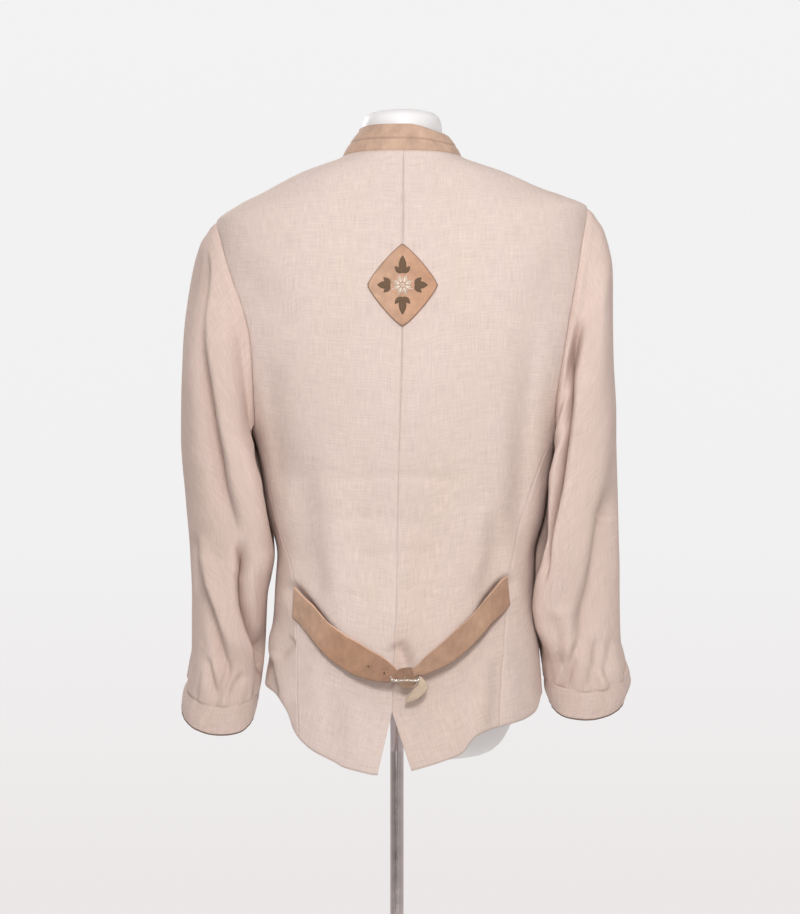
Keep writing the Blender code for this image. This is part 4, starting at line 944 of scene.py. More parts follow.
SLEEVE_FOLDS_RIGHT = (
    (((590, 245), (587, 304), (579, 355), (574, 402)), -0.0050, 0.012, 0.016),
    (((580, 310), (577, 400), (573, 438), (566, 487), (556, 530), (548, 560), (540, 590)), -0.0260, 0.0125, 0.0045),
    (((588, 350), (586, 400), (583, 438), (577, 487), (565, 540), (554, 572), (544, 600)), 0.0034, 0.0075, 0.032),
    (((609, 380), (600, 466), (589, 535), (582, 625)), 0.0040, 0.012, 0.010),
    (((610, 480), (600, 545), (590, 595), (580, 650)), -0.0100, 0.012, 0.018),
    (((594, 512), (605, 515), (617, 522)), -0.0032, 0.005, 0.004),
    (((558, 696), (569, 669), (580, 636)), -0.0056, 0.0065, 0.005),
    (((588, 694), (597, 664), (601, 634)), -0.0040, 0.009, 0.007),
    (((605, 684), (611, 660), (616, 636)), -0.0028, 0.007, 0.006),
    (((566, 600), (570, 630), (566, 664)), 0.0036, 0.012, 0.010),
    (((548, 610), (556, 640), (558, 676)), -0.0040, 0.007, 0.010),
    (((606, 250), (606, 320), (603, 372)), 0.0020, 0.010, 0.010),
)


# lips of cloth that lie over a trough: path, slide to the picture's left, place and width beside the path
SLIDES_LEFT = (
    (((204, 260), (210, 351), (216, 385), (221, 420), (229, 462), (233, 497), (240, 540)), 0.0085, -0.008, 0.009),
    (((243, 540), (235, 580), (238, 605), (247, 630), (258, 656), (264, 676)), -0.0080, 0.007, 0.008),
)
SLIDES_RIGHT = (
    (((580, 320), (577, 400), (573, 438), (566, 487), (556, 530), (548, 560), (540, 590)), 0.0120, -0.009, 0.010),
)


def spread(n, edge=0.55):
    """n shares from 0 to 1, closer together at both ends."""
    t = np.linspace(0, 1, n)
    return t * (1 - edge) + edge * (0.5 - 0.5 * np.cos(math.pi * t))


def body_out(points):
    """Level direction out of the body at each point, the same for two panels that meet there."""
    x, y, z = points[..., 0], points[..., 1], points[..., 2]
    half, shift = body_t["half_width"](z), body_t["shift"](z)
    depth = np.where(y > 0, body_t["back"](z), body_t["front"](z))
    n = np.stack([(x - shift) / half ** 2, y / depth ** 2, 6.0 * smooth((z - 1.23) / 0.09)], -1)
    return n / np.maximum(np.linalg.norm(n, axis=-1, keepdims=True), 1e-9)


def body_relief(points):
    x, y, z = points[..., 0], points[..., 1], points[..., 2]
    push = 1.3 * smooth((y + 0.005) / 0.05) * fold_push(x, z, BACK_FOLDS, 0.11)
    push = push + 1.3 * smooth((0.005 - y) / 0.05) * fold_push(x, z, FRONT_FOLDS, 0.11)
    low = 0.35 + 0.65 * smooth((1.12 - z) / 0.25)
    tails = 1 + 0.5 * smooth((0.80 - z) / 0.08)
    push = push + low * tails * 0.0011 * value_noise((x + 1.7 * y) / 0.050, z / 0.075, 3)
    push = push + low * tails * 0.00045 * value_noise((x - 1.3 * y) / 0.021, z / 0.030, 5)
    return push


def dip(d, deep, wide):
    return -deep * np.exp(-((d / wide) ** 2))


def seam_dip(d):
    """A seam is pressed in, with the turned edges raising the cloth beside it a little."""
    return dip(d, 0.00022, 0.0010) - dip(d - 0.0042, 0.00022, 0.0026)


def relieved(points, edges=True, hem=True, stitch_edge=None):
    """Points of a body panel with its folds, pressed seams along both long edges and a turned hem."""
    push = body_relief(points)
    inner = lengths_along(points, 1)
    outer = inner[:, -1:] - inner
    up = lengths_along(points, 0)
    if edges:
        push = push + seam_dip(inner) + seam_dip(outer)
    if hem:
        push = push + dip(up, 0.0007, 0.0018) + dip(up - 0.026, 0.00016, 0.0015)
    if stitch_edge:
        for d in stitch_edge:
            push = push + dip(outer - d, 0.0004, 0.0010)
    return points + body_out(points) * push[..., None]


LOW_ROWS, CHEST_ROWS = 118, 96
low_rows = np.linspace(0, UNDERARM_SHARE, LOW_ROWS)
chest_rows = np.linspace(UNDERARM_SHARE, 1, CHEST_ROWS + 1)[1:]
all_rows = np.concatenate([low_rows, chest_rows])


def clear_of_body(points, side, gap=0.0030):
    """Moves a sleeve's points out sideways where they would come nearer the body than gap."""
    x, y, z = points[..., 0], points[..., 1], points[..., 2]
    half, shift = body_t["half_width"](z) + gap, body_t["shift"](z)
    depth = np.where(y > 0, body_t["back"](z), body_t["front"](z)) + gap
    reach = np.clip(1 - (np.abs(y) / depth) ** RING_POWER, 0, None) ** (1 / RING_POWER)
    least = half * reach + side * shift
    under = smooth((UNDERARM_Z - 0.012 - z) / 0.02)
    short = np.maximum(least - side * x, 0.0) * under
    points = points.copy()
    points[..., 0] += side * short
    return points


# how much further the loose cloth of a sleeve lies over the side of the body
OVER_COLUMNS = ("z", "left", "right", "fore_left", "fore_right")
OVER = (
    (0.745, 0.000, 0.000, 0.000, 0.034),
    (0.790, 0.000, 0.000, 0.000, 0.038),
    (0.855, 0.000, 0.000, 0.000, 0.040),
    (0.889, 0.000, -0.009, 0.010, 0.044),
    (0.925, 0.000, -0.006, 0.026, 0.042),
    (0.960, 0.001, 0.002, 0.030, 0.036),
    (0.990, 0.008, 0.012, 0.028, 0.032),
    (1.015, 0.014, 0.018, 0.026, 0.028),
    (1.040, 0.014, 0.016, 0.018, 0.020),
    (1.075, 0.000, 0.000, 0.000, 0.000),
)
over_t = tracks(OVER_COLUMNS, OVER)


def sleeve_points(table, cuff, folds, side, around, rows, seed):
    shares = np.concatenate([np.linspace(0, 0.03, 14)[:-1], np.linspace(0.03, 1, rows - 13)])
    rings = sleeve_rings(table, side, around, shares)
    s = shares[:, None]
    turns = np.broadcast_to(2 * math.pi * np.arange(around) / around, rings.shape[:2])
    c, w = np.cos(turns), np.sin(turns)
    # below the armhole the sleeve lies a little over the side of the back
    over = np.mean([wrap_t["left" if side > 0 else "right"](rings[..., 2] + d) for d in (-0.06, -0.03, 0.0, 0.03, 0.06)], 0)
    over = over * smooth((s - 0.12) / 0.26) * (1 - smooth((s - 0.84) / 0.14))
    rings[..., 0] -= side * over * np.clip(w, 0, None) ** 1.3
    tag = "left" if side > 0 else "right"
    toward = smooth((0.95 - c) / 1.10)
    spans = (-0.03, 0.0, 0.03)
    loose = np.mean([over_t[tag](rings[..., 2] + d) for d in spans], 0)
    fore = np.mean([over_t["fore_" + tag](rings[..., 2] + d) for d in spans], 0)
    rings[..., 0] -= side * smooth((s - 0.03) / 0.10) * loose * np.clip(w, 0, None) * toward
    rings[..., 0] -= side * smooth((s - 0.03) / 0.10) * fore * np.clip(-w, 0, None) * toward * (1 - smooth((s - 0.94) / 0.05))
    middle = rings.mean(1, keepdims=True)
    # the foot is drawn in to the cuff
    top, below = oval(cuff[0], side, around), oval(cuff[1], side, around)
    inside = top.mean(0) + (top - top.mean(0)) * 0.984 + (below - top) * 0.22
    rings = rings + smooth((s - 0.960) / 0.040)[..., None] * (inside[None] - rings)
    out = rings - middle
    out[..., 2] *= 0.15
    out /= np.linalg.norm(out, axis=2, keepdims=True)
    x, y, z = rings[..., 0], rings[..., 1], rings[..., 2]
    away = (y - middle[..., 1]) / np.abs(y - middle[..., 1]).max(1, keepdims=True)
    push = smooth((away + 0.02) / 0.35) * fold_push(x, z, folds, 0.05)
    push = push + 0.85 * smooth((-away - 0.02) / 0.35) * fold_push(x, z + 0.014, folds, 0.05)
    push = 1.35 * push * smooth(s / 0.05)
    # long drag lines round the hidden sides, then small unevenness
    push = push + (0.0006 + 0.0018 * smooth(-away / 0.3)) * smooth(s / 0.2) * value_noise(1.8 * c + 4.0 * s + 3, 1.4 * w + 5.0 * s, seed)
    push = push + 0.0004 * smooth(s / 0.1) * value_noise(4 * c + 2, 3.5 * w + 11 * s, seed + 4)
    # gathers into the cuff, and fullness over it
    gather = np.exp(-(((1 - s) / 0.050) ** 2)) * smooth((1 - s) / 0.012)
    push = push + gather * (0.0018 + 0.0028 * value_noise(5.2 * c + 9, 5.2 * w, seed + 2))
    # cap: raised a little past its seam
    start = lengths_along(rings, 0)
    push = push - smooth(start / 0.005) * dip(start - 0.0090, 0.0014, 0.0060)
    shared = (1 - smooth(s / 0.14)) * body_relief(rings) + seam_dip(start)
    points = rings + out * push[..., None] + body_out(rings) * shared[..., None]
    points[..., 0] += smooth((away + 0.02) / 0.35) * smooth(s / 0.05) * fold_slide(x, z, SLIDES_LEFT if side > 0 else SLIDES_RIGHT, 0.05)
    return clear_of_body(points, side)


def cuff_points(table, side, around, rows, seed):
    band = np.array([oval(r, side, around) for r in sections(table, np.linspace(0, 1, rows))])
    middle = band.mean(1, keepdims=True)
    out = band - middle
    out[..., 2] *= 0.15
    out /= np.linalg.norm(out, axis=2, keepdims=True)
    d = lengths_along(band, 0)
    turns = np.broadcast_to(2 * math.pi * np.arange(around) / around, d.shape)
    push = dip(d, 0.0005, 0.0014) + dip(d - 0.0042, 0.00025, 0.0009)
    push = push + dip(d[-1:] - d, 0.0009, 0.0016) + dip(d[-1:] - d - 0.0050, 0.00035, 0.0009)
    push = push + 0.0012 * value_noise(3 * np.cos(turns) + 4, 3 * np.sin(turns) + d / 0.03, seed)
    push = push + 0.0005 * value_noise(9 * np.cos(turns) + 4, 9 * np.sin(turns) + d / 0.014, seed + 3)
    return clear_of_body(band + out * push[..., None], side)


# ------------------------------------------------------------------ the jacket's panels
sheets = {}
for left in (True, False):
    tag, side = ("left", 1) if left else ("right", -1)
    back = relieved(back_panel(left, spread(104), all_rows))
    sheets["back_" + tag] = shell("back_" + tag, back, CLOTH, linen if left else shaded_linen_low, flip=left)
    under = relieved(side_panel(left, spread(48), low_rows))
    sheets["side_" + tag] = shell("side_" + tag, under, CLOTH, linen_side, flip=left)
    front = relieved(front_panel(left, spread(80), all_rows), stitch_edge=(0.006,))
    sheets["front_" + tag] = shell("front_" + tag, front, CLOTH, linen_front, flip=left)
    table, cuff = (SLEEVE_LEFT, CUFF_LEFT) if left else (SLEEVE_RIGHT, CUFF_RIGHT)
    folds = SLEEVE_FOLDS_LEFT if left else SLEEVE_FOLDS_RIGHT
    arm = sleeve_points(table, cuff, folds, side, 224, 204, 11 if left else 23)
    sheets["sleeve_" + tag] = shell("sleeve_" + tag, arm, CLOTH, linen_sleeve_left if left else linen_sleeve, flip=left, closed=True)
    band = cuff_points(cuff, side, 150, 30, 5 if left else 8)
    sheets["cuff_" + tag] = shell("cuff_" + tag, band, CLOTH * 1.3, linen_sleeve, flip=left, closed=True)
    # a thin dark line round the foot of each cuff
    joined("cuff_edge_" + tag, [tube_mesh("", band[-1] + [0, 0, -0.0002], 0.0008, None, closed=True, sides=8)], cuff_line_look)


# ------------------------------------------------------------------ collar
def collar_points(columns, shares):
    ahead = 90.0 - COLLAR_OPEN_DEG
    turns = np.concatenate([-ahead * np.linspace(1, 0, 200) ** 0.5, np.linspace(0, 180, 300)[1:-1], 180 + ahead * np.linspace(0, 1, 200) ** 0.5])
    base = along(body_point(turns, neck_z(turns)), columns)
    flat = base[:, :2]
    length = np.linalg.norm(flat, axis=1, keepdims=True)
    lift = 0.0024 + 0.004 * smooth(-base[:, 1] / 0.06)
    run = np.concatenate([[0], np.cumsum(np.linalg.norm(np.diff(base, axis=0), axis=1))])
    # it leans in more on the left and stands lower on the right
    to_left, to_right = smooth((base[:, 0] - 0.012) / 0.055), smooth((-base[:, 0] - 0.012) / 0.050) * smooth((base[:, 1] + 0.05) / 0.05)
    rows = []
    for share in shares:
        lean = COLLAR_LEAN * (1 + 0.42 * to_left) * (0.55 * share + 0.45 * share * share) + 0.0004
        # pressed in along the mid line, rounded over at the top edge, never quite even
        lean = lean + 0.0010 * math.exp(-(((share - 0.50) / 0.045) ** 2)) + 0.0012 * math.exp(-(((share - 1.0) / 0.06) ** 2))
        wave = 0.0007 * value_noise(run / 0.035, np.full_like(run, share * 1.6), 6) * smooth(np.array(share / 0.3))
        ring = np.empty_like(base)
        ring[:, :2] = flat * (1 - (lean + wave)[:, None] / length)
        ring[:, 2] = base[:, 2] - 0.0012 * (1 - share) + (lift + COLLAR_HEIGHT * (1 + 0.03 * to_left - 0.24 * to_right)) * share
        rows.append(ring)
    grid = np.array(rows)
    middle = np.argmin(np.abs(base[:, 0]) + 10 * (base[:, 1] < 0))
    seam = run - run[middle]
    out = np.concatenate([flat / length, np.zeros((columns, 1))], 1)
    grid = grid + out[None] * dip(seam, 0.0008, 0.0011)[None, :, None]
    # it stays off the neck of the form
    x, y, z = grid[..., 0], grid[..., 1], grid[..., 2]
    depth = np.where(y > 0, form_t["back"](z), form_t["front"](z))
    reach = np.hypot(x, y)
    near = reach / np.hypot(x / form_t["half_width"](z), y / depth) + SUEDE + 0.0016
    grid[..., :2] *= (np.maximum(reach, near) / reach)[..., None]
    return grid, run


form_t = tracks(FORM_COLUMNS, FORM)
collar_shares = np.linspace(0, 1, 30)
collar_grid, collar_run = collar_points(220, collar_shares)
collar_uv = np.stack(np.meshgrid(collar_run, collar_shares * COLLAR_HEIGHT), -1)
sheets["collar"] = shell("collar", collar_grid, SUEDE, collar_look, uv=collar_uv)


# ------------------------------------------------------------------ half belt
def surface_y(x, z):
    """Depth of the relieved back at a place."""
    p = back_at(x, z)
    return p[..., 1] + body_out(p)[..., 1] * body_relief(p)


def picture_line(points, n):
    """n places along a path in the picture's pixels, evenly apart on a smooth curve through its points."""
    p = np.array(points, float)
    d = np.concatenate([[0], np.cumsum(np.linalg.norm(np.diff(p, axis=0), axis=1))])
    at = np.linspace(0, d[-1], n)
    return np.stack([Track(d, p[:, 0])(at), Track(d, p[:, 1])(at)], 1)


def placed(px, py, off):
    """Garment place of picture points at a distance from the plain form of the back."""
    y = np.full(np.shape(px), 0.125)
    for _ in range(4):
        x, z = seen(px, py, y)
        y = back_at(x, z)[..., 1] + off
    return np.stack([x, y, z], -1)


def ribbon(top, low, off, columns, shares, seed, wave=0.0008, curl=0.0012):
    """Strap between two edges drawn in the picture. off: rows of (share along, distance of the top edge from the
    cloth, distance of the low edge)."""
    high, under = picture_line(top, columns), picture_line(low, columns)
    at = np.linspace(0, 1, columns)
    rows = np.array(off, float)
    off_top, off_low = Track(rows[:, 0], rows[:, 1])(at), Track(rows[:, 0], rows[:, 2])(at)
    lines = []
    run = np.concatenate([[0], np.cumsum(np.linalg.norm(np.diff((high + under) / 2, axis=0), axis=1))]) * 0.00115
    for share in shares:
        p = under + (high - under) * share
        k = 2 * share - 1
        uneven = wave * value_noise(run / 0.026, np.full_like(run, share * 1.3), seed) + 0.4 * wave * value_noise(run / 0.010, np.full_like(run, share * 3.0), seed + 2)
        lines.append(placed(p[:, 0], p[:, 1], off_low + (off_top - off_low) * share + uneven * smooth(at / 0.06) - curl * k * k))
    grid = np.stack(lines, 0)
    grid[..., 1] = np.maximum(grid[..., 1], surface_y(grid[..., 0], grid[..., 2]) + 0.0009)
    return grid, run


def strap_shell(name, grid, wall, look, uv=None):
    return shell(name, grid, wall, look, flip=bool(grid_normals(grid, False)[..., 1].mean() < 0), outward=True, uv=uv)


# edges of the straps in the picture, from the seam to the buckle
LEFT_TOP = ((295.3, 586.8), (299.3, 591.4), (306.4, 598.6), (312, 603.5), (319.5, 612.3), (328.6, 622.7), (335.5, 628), (346.4, 636), (359.3, 643.2), (371, 650.8), (382, 657.6), (390, 664.2), (396.5, 671.5), (398.8, 677.5))
LEFT_LOW = ((293.8, 616.8), (299.3, 622.3), (306.4, 630.7), (315, 642.1), (323.6, 652.9), (332.1, 660.7), (342.1, 667.9), (351, 673.4), (363.6, 678.6), (376.4, 681.4), (386, 682.3), (392.5, 682.2))
RIGHT_TOP = ((506.3, 576.2), (501, 580), (495.3, 587.1), (488.1, 596.4), (480.3, 606.4), (473.1, 615), (466.7, 621.4), (458.1, 629), (449.3, 637.8), (439.3, 646.4), (428.3, 656), (418.4, 665.6), (411.4, 671.0))
RIGHT_LOW = ((508.6, 604.6), (503.9, 610.7), (496.7, 617.9), (489.6, 625), (483.1, 633.6), (476.7, 640.7), (468.1, 649.3), (459.6, 656.4), (449.6, 663.6), (439.6, 668.8), (429.6, 673), (421.5, 675.8), (413.2, 675.6))
LEFT_OFF = ((0, 0.0014, 0.0014), (0.10, 0.0040, 0.0034), (0.35, 0.0052, 0.0064), (0.65, 0.0056, 0.0110), (0.85, 0.0072, 0.0190), (1, 0.0110, 0.0230))
RIGHT_OFF = ((0, 0.0020, 0.0030), (0.08, 0.0042, 0.0060), (0.30, 0.0052, 0.0160), (0.60, 0.0056, 0.0220), (0.85, 0.0070, 0.0220), (0.95, 0.0100, 0.0170), (1, 0.0140, 0.0160))
strap_shares = np.linspace(0, 1, 22)
for name, top, under, off, wide, look, seed in (("belt_left", LEFT_TOP, LEFT_LOW, LEFT_OFF, 0.0325, strap_look, 3), ("belt_right", RIGHT_TOP, RIGHT_LOW, RIGHT_OFF, 0.0305, strap_right_look, 7)):
    grid, run = ribbon(top, under, off, 150, strap_shares, seed)
    sheets[name] = strap_shell(name, grid, STRAP, look, np.stack(np.meshgrid(run, strap_shares * wide), -1))

# two punched holes in the left strap, each a dark plug through the strap: painted shade inside the hole
hole_parts = []
for px, py, off in ((368.2, 666.2, 0.0122), (384.3, 673.0, 0.0176)):
    middle = placed(px, py, off)
    ring = [middle + np.array([0.0010 * math.cos(t), 0, 0.0008 * math.sin(t)]) for t in np.linspace(0, 2 * math.pi, 15)[:-1]]
    n = len(ring)
    verts = np.array([p + np.array([0, d, 0]) for d in (-0.0020, 0.0022) for p in ring])
    hole_parts.append((verts, [tuple(range(n - 1, -1, -1)), tuple(range(n, 2 * n))] + [(k, (k + 1) % n, n + (k + 1) % n, n + k) for k in range(n)]))
belt_holes = joined("belt_holes", hole_parts, punched)

# free end: it leaves the buckle at the right, curls over and hangs to the left
TAIL_OUTER = ((419.9, 677.3), (423.8, 680.6), (426.7, 685.2), (426.9, 688.3), (425, 691.5), (420.5, 695.8), (415, 699.3), (406.3, 701.6))
TAIL_INNER = ((419.2, 678.2), (419.0, 681.0), (418.4, 684.0), (416.6, 687.2), (413.1, 690.8), (409.3, 695.8), (407.2, 698.6), (405.8, 701.2))
tail_grid, tail_run = ribbon(TAIL_INNER, TAIL_OUTER, ((0, 0.0215, 0.0220), (0.3, 0.0215, 0.0240), (0.7, 0.0190, 0.0215), (1, 0.0150, 0.0155)), 70, np.linspace(0, 1, 14), 4, 0.0003, 0.0020)
sheets["belt_tail"] = strap_shell("belt_tail", tail_grid, STRAP * 0.7, tail_look)

# turned end of the left strap, round the buckle's near bar; its brown, darker than the strap's, is painted shade under
# the bar
LOOP_TOP = ((397.6, 680.4), (402.0, 680.6), (407.5, 680.8), (412.5, 680.6), (416.0, 680.2))
LOOP_LOW = ((398.6, 684.2), (401.6, 686.6), (406.0, 688.0), (410.6, 687.2), (414.6, 684.0))
loop_grid, loop_run = ribbon(LOOP_TOP, LOOP_LOW, ((0, 0.0225, 0.0165), (0.5, 0.0240, 0.0165), (1, 0.0225, 0.0155)), 40, np.linspace(0, 1, 12), 9, 0.0003, -0.0016)
strap_shell("belt_loop", loop_grid, STRAP * 0.8, loop_shaded_look)
# the same end behind the ring, in the hollow between the straps; its brown, much darker than the strap's, is painted
# shade of the hollow
BEHIND_TOP = ((395.5, 671.6), (399.5, 669.8), (405, 668.4), (410.5, 668.2), (416.5, 669.8))
BEHIND_LOW = ((396.8, 679.2), (401.5, 680.4), (407.5, 680.6), (413, 679.8), (418.2, 675.6))
behind_grid, behind_run = ribbon(BEHIND_TOP, BEHIND_LOW, ((0, 0.0090, 0.0170), (0.5, 0.0085, 0.0205), (1, 0.0090, 0.0170)), 40, np.linspace(0, 1, 12), 12, 0.0004, 0.0)
strap_shell("belt_behind", behind_grid, STRAP * 0.6, behind_shaded_look)


# ------------------------------------------------------------------ patch
PATCH_X = float(seam_t["centre_back"](PATCH_Z))


def on_patch(a, b, out):
    """Place on the back at (a, b) from the patch's middle, out from the cloth."""
    a, b = np.asarray(a, float), np.asarray(b, float)
    x, z = PATCH_X + a, PATCH_Z + b
    p = back_at(x, z)
    n = body_out(p)
    return p + n * (body_relief(p) + out)[..., None]


def patch_edge(around):
    t = 2 * math.pi * np.arange(around) / around
    c, s = np.cos(t), np.sin(t)
    r = 1 / (np.abs(c) ** PATCH_POWER + np.abs(s) ** PATCH_POWER) ** (1 / PATCH_POWER)
    a, b = PATCH_HALF_W * r * c, PATCH_HALF_H * r * s
    turns = np.arange(-6, 7)
    weight = np.exp(-((turns / 3.2) ** 2))
    weight /= weight.sum()
    a = sum(w * np.roll(a, k) for k, w in zip(turns, weight))
    b = sum(w * np.roll(b, k) for k, w in zip(turns, weight))
    return np.stack([a, b], 1)


def patch_mesh(name, around, rings, look):
    edge = patch_edge(around)
    shares = np.linspace(0, 1, rings + 1)[1:]
    flat = np.concatenate([[[0, 0]], (shares[:, None, None] * edge[None]).reshape(-1, 2)])
    share = np.concatenate([[0], np.repeat(shares, around)])
    # slightly padded, pressed along its stitching, thin at the edge
    size = np.linalg.norm(flat, axis=1)
    from_edge = (1 - share) * np.linalg.norm(np.concatenate([edge[:1], np.tile(edge, (rings, 1))]), axis=1)
    face = 0.0012 + PATCH + 0.0009 * smooth(from_edge / 0.012) + -0.0007 * np.exp(-from_edge / 0.0009)
    face = face + 0.00025 * value_noise(flat[:, 0] / 0.009, flat[:, 1] / 0.009, 4) * smooth(from_edge / 0.006)
    outer, inner = on_patch(flat[:, 0], flat[:, 1], face), on_patch(flat[:, 0], flat[:, 1], np.full(len(flat), 0.0004))
    n = len(flat)
    faces, loops = [], []

    def add(*corners):
        faces.append(corners)
        loops.extend(flat[c % n] for c in corners)

    for j in range(around):
        k = (j + 1) % around
        add(0, 1 + k, 1 + j)
        add(n, n + 1 + j, n + 1 + k)
        for i in range(rings - 1):
            a, b = 1 + i * around, 1 + (i + 1) * around
            add(a + j, a + k, b + k, b + j)
            add(n + a + j, n + b + j, n + b + k, n + a + k)
        e = 1 + (rings - 1) * around
        add(e + j, e + k, n + e + k, n + e + j)
    return mesh_object(name, np.concatenate([outer, inner]), faces, np.array(loops), look)


patch = patch_mesh("back_patch", 160, 26, patch_look)
edge_line = patch_edge(720)
PATCH_TOP = 0.0012 + PATCH + 0.0009


def leaf_mesh(middle, turn, length, width, bend, columns=16, rows=7):
    """Thin leaf laid on the patch, pointed at both ends."""
    t = np.linspace(0, 1, columns)
    half = width / 2 * np.sin(math.pi * t ** 0.85) ** 0.8
    ca, sa = math.cos(turn), math.sin(turn)
    top, low = [], []
    for k in np.linspace(-1, 1, rows):
        u = length * t
        v = half * k + bend * np.sin(math.pi * t)
        a, b = middle[0] + u * ca - v * sa, middle[1] + u * sa + v * ca
        rise = 0.0006 * (1 - k * k) ** 0.5 + 0.0002
        top.append(on_patch(a, b, PATCH_TOP + rise * np.sin(math.pi * np.clip(t, 0.02, 0.98)) ** 0.4))
        low.append(on_patch(a, b, np.full(columns, PATCH_TOP - 0.0005)))
    verts = np.concatenate([np.array(top).reshape(-1, 3), np.array(low).reshape(-1, 3)])
    n, faces = rows * columns, []
    for i in range(rows - 1):
        for j in range(columns - 1):
            a = i * columns + j
            quad = (a, a + 1, a + columns + 1, a + columns)
            faces += [quad[::-1], tuple(q + n for q in quad)]
    rim = list(range(columns)) + [i * columns + columns - 1 for i in range(1, rows)] + [(rows - 1) * columns + j for j in range(columns - 2, -1, -1)] + [i * columns for i in range(rows - 2, 0, -1)]
    for a, b in zip(rim, rim[1:] + rim[:1]):
        faces.append((a, b, b + n, a + n))
    return verts, faces


def thread_line(points, radius=0.00042):
    a, b = np.array(points, float).T
    arc = 0.0004 * np.sin(np.linspace(0, math.pi, len(a)))
    return tube_mesh("", on_patch(a, b, PATCH_TOP + 0.0002 + arc), radius, None, sides=6)


# generic folk design: an eight-rayed stitched star in the middle of four leaf sprays
leaves, threads = [], []
for q in range(4):
    turn = math.pi / 2 * q + math.pi / 2
    reach = 0.0150 if q % 2 else 0.0205
    start = (0.0140 * math.cos(turn), 0.0140 * math.sin(turn))
    leaves.append(leaf_mesh(start, turn, reach, 0.0088, 0.0))
    for s in (-1, 1):
        leaves.append(leaf_mesh(start, turn + s * 0.85, 0.0118, 0.0060, 0.0007 * s))
for q in range(8):
    turn = math.pi / 4 * q + math.pi / 8
    for s, far in ((-0.20, 0.0098), (0.0, 0.0122), (0.20, 0.0098)):
        line = [(r * math.cos(turn + s * (0.4 + 0.6 * r / 0.0122)), r * math.sin(turn + s * (0.4 + 0.6 * r / 0.0122))) for r in np.linspace(0.0036, far, 7)]
        threads.append(thread_line(line))
    tip = turn + math.pi / 8
    threads.append(thread_line([(r * math.cos(tip), r * math.sin(tip)) for r in np.linspace(0.0052, 0.0086, 5)], 0.00036))
for q in range(6):
    turn = math.pi / 3 * q
    threads.append(thread_line([(0.0016 * math.cos(turn) + 0.0007 * k, 0.0016 * math.sin(turn) + 0.0005 * k) for k in (-1, 0, 1)], 0.00060))
patch_leaves = joined("patch_leaves", leaves, brown_look)
patch_star = joined("patch_star", threads, thread_look)

# running stitches round the patch
stitch_run = np.concatenate([edge_line, edge_line[:1]])
stitch_run = stitch_run * (1 - 0.0007 / np.maximum(np.linalg.norm(stitch_run, axis=1, keepdims=True), 1e-6))
gone = np.concatenate([[0], np.cumsum(np.linalg.norm(np.diff(stitch_run, axis=0), axis=1))])
stitches, pitch = [], 0.0021
for k in range(int(gone[-1] / pitch)):
    at = (k + np.linspace(0.06, 0.94, 4)) * pitch
    a, b = np.interp(at, gone, stitch_run[:, 0]), np.interp(at, gone, stitch_run[:, 1])
    stitches.append(tube_mesh("", on_patch(a, b, 0.0012 + PATCH * 0.5 + np.array([-0.0001, 0.0003, 0.0003, -0.0001])), 0.00042, None, sides=5))
patch_stitches = joined("patch_stitches", stitches, patch_thread)


# ------------------------------------------------------------------ buckle
def rounded_loop(width, height, corner, n):
    points = []
    for cx, cz, begin in ((1, 1, 0), (-1, 1, 90), (-1, -1, 180), (1, -1, 270)):
        for a in np.radians(np.linspace(begin, begin + 90, 12)):
            points.append((cx * (width / 2 - corner) + corner * math.cos(a), 0.0, cz * (height / 2 - corner) + corner * math.sin(a)))
    return along(np.array(points), n, closed=True)


def twisted(path, closed, strands, turns, offset, radius, sides=7):
    """Strands wound round a path, as on a cast rope edge."""
    p = np.asarray(path)
    n = len(p)
    run = (np.roll(p, -1, 0) - np.roll(p, 1, 0)) if closed else np.gradient(p, axis=0)
    run /= np.linalg.norm(run, axis=1, keepdims=True)
    up = np.tile(np.array([0.0, 1.0, 0.0]), (n, 1))
    side = np.cross(run, up)
    made_strands = []
    for k in range(strands):
        a = 2 * math.pi * (turns * np.arange(n) / n + k / strands)
        line = p + offset * (side * np.cos(a)[:, None] + up * np.sin(a)[:, None])
        made_strands.append(tube_mesh("", line, radius, None, closed=closed, sides=sides))
    return made_strands


seat = back_at(np.array([BUCKLE_X]), np.array([BUCKLE_Z]))[0]
tip = math.radians(BUCKLE_TILT_DEG + 16)


def at_buckle(verts):
    """Buckle's own plane to its place, tipped out from the back."""
    v = np.asarray(verts)
    y, z = v[:, 1] * math.cos(tip) - v[:, 2] * math.sin(tip), v[:, 1] * math.sin(tip) + v[:, 2] * math.cos(tip)
    return np.stack([v[:, 0] + seat[0], y + seat[1] + BUCKLE_OFF, z + seat[2] + 0.0006], 1)


loop = rounded_loop(BUCKLE_W - 0.001, BUCKLE_H, BUCKLE_CORNER, 260)
buckle_parts = [tube_mesh("", loop, 0.0009, None, closed=True, sides=10)] + twisted(loop, True, 2, 23, 0.00092, 0.00088)
# cast knots at the corners
for x, z, r in ((1, 1, 0.0019), (-1, 1, 0.0019), (1, -1, 0.0021), (-1, -1, 0.0021)):
    cx, cz = x * (BUCKLE_W / 2 - 0.0021), z * (BUCKLE_H / 2 - 0.0016)
    t = np.linspace(-1, 1, 9)
    line = np.stack([cx + 0.0019 * t, np.zeros(9), np.full(9, cz)], 1)
    buckle_parts.append(tube_mesh("", line, r * np.sqrt(np.clip(1 - t ** 2, 0.04, 1)), None, sides=10))
buckle = joined("buckle", [(at_buckle(v), f) for v, f in buckle_parts], silver)
bar_line = np.stack([np.zeros(24), np.zeros(24), np.linspace(-BUCKLE_H / 2 + 0.0022, BUCKLE_H / 2 - 0.0022, 24)], 1)
bar_swell = 0.0011 + 0.0004 * np.cos(np.linspace(0, 6 * math.pi, 24))
buckle_bar = joined("buckle_bar", [(at_buckle(tube_mesh("", bar_line, bar_swell, None, sides=10)[0]), tube_mesh("", bar_line, bar_swell, None, sides=10)[1])], silver)


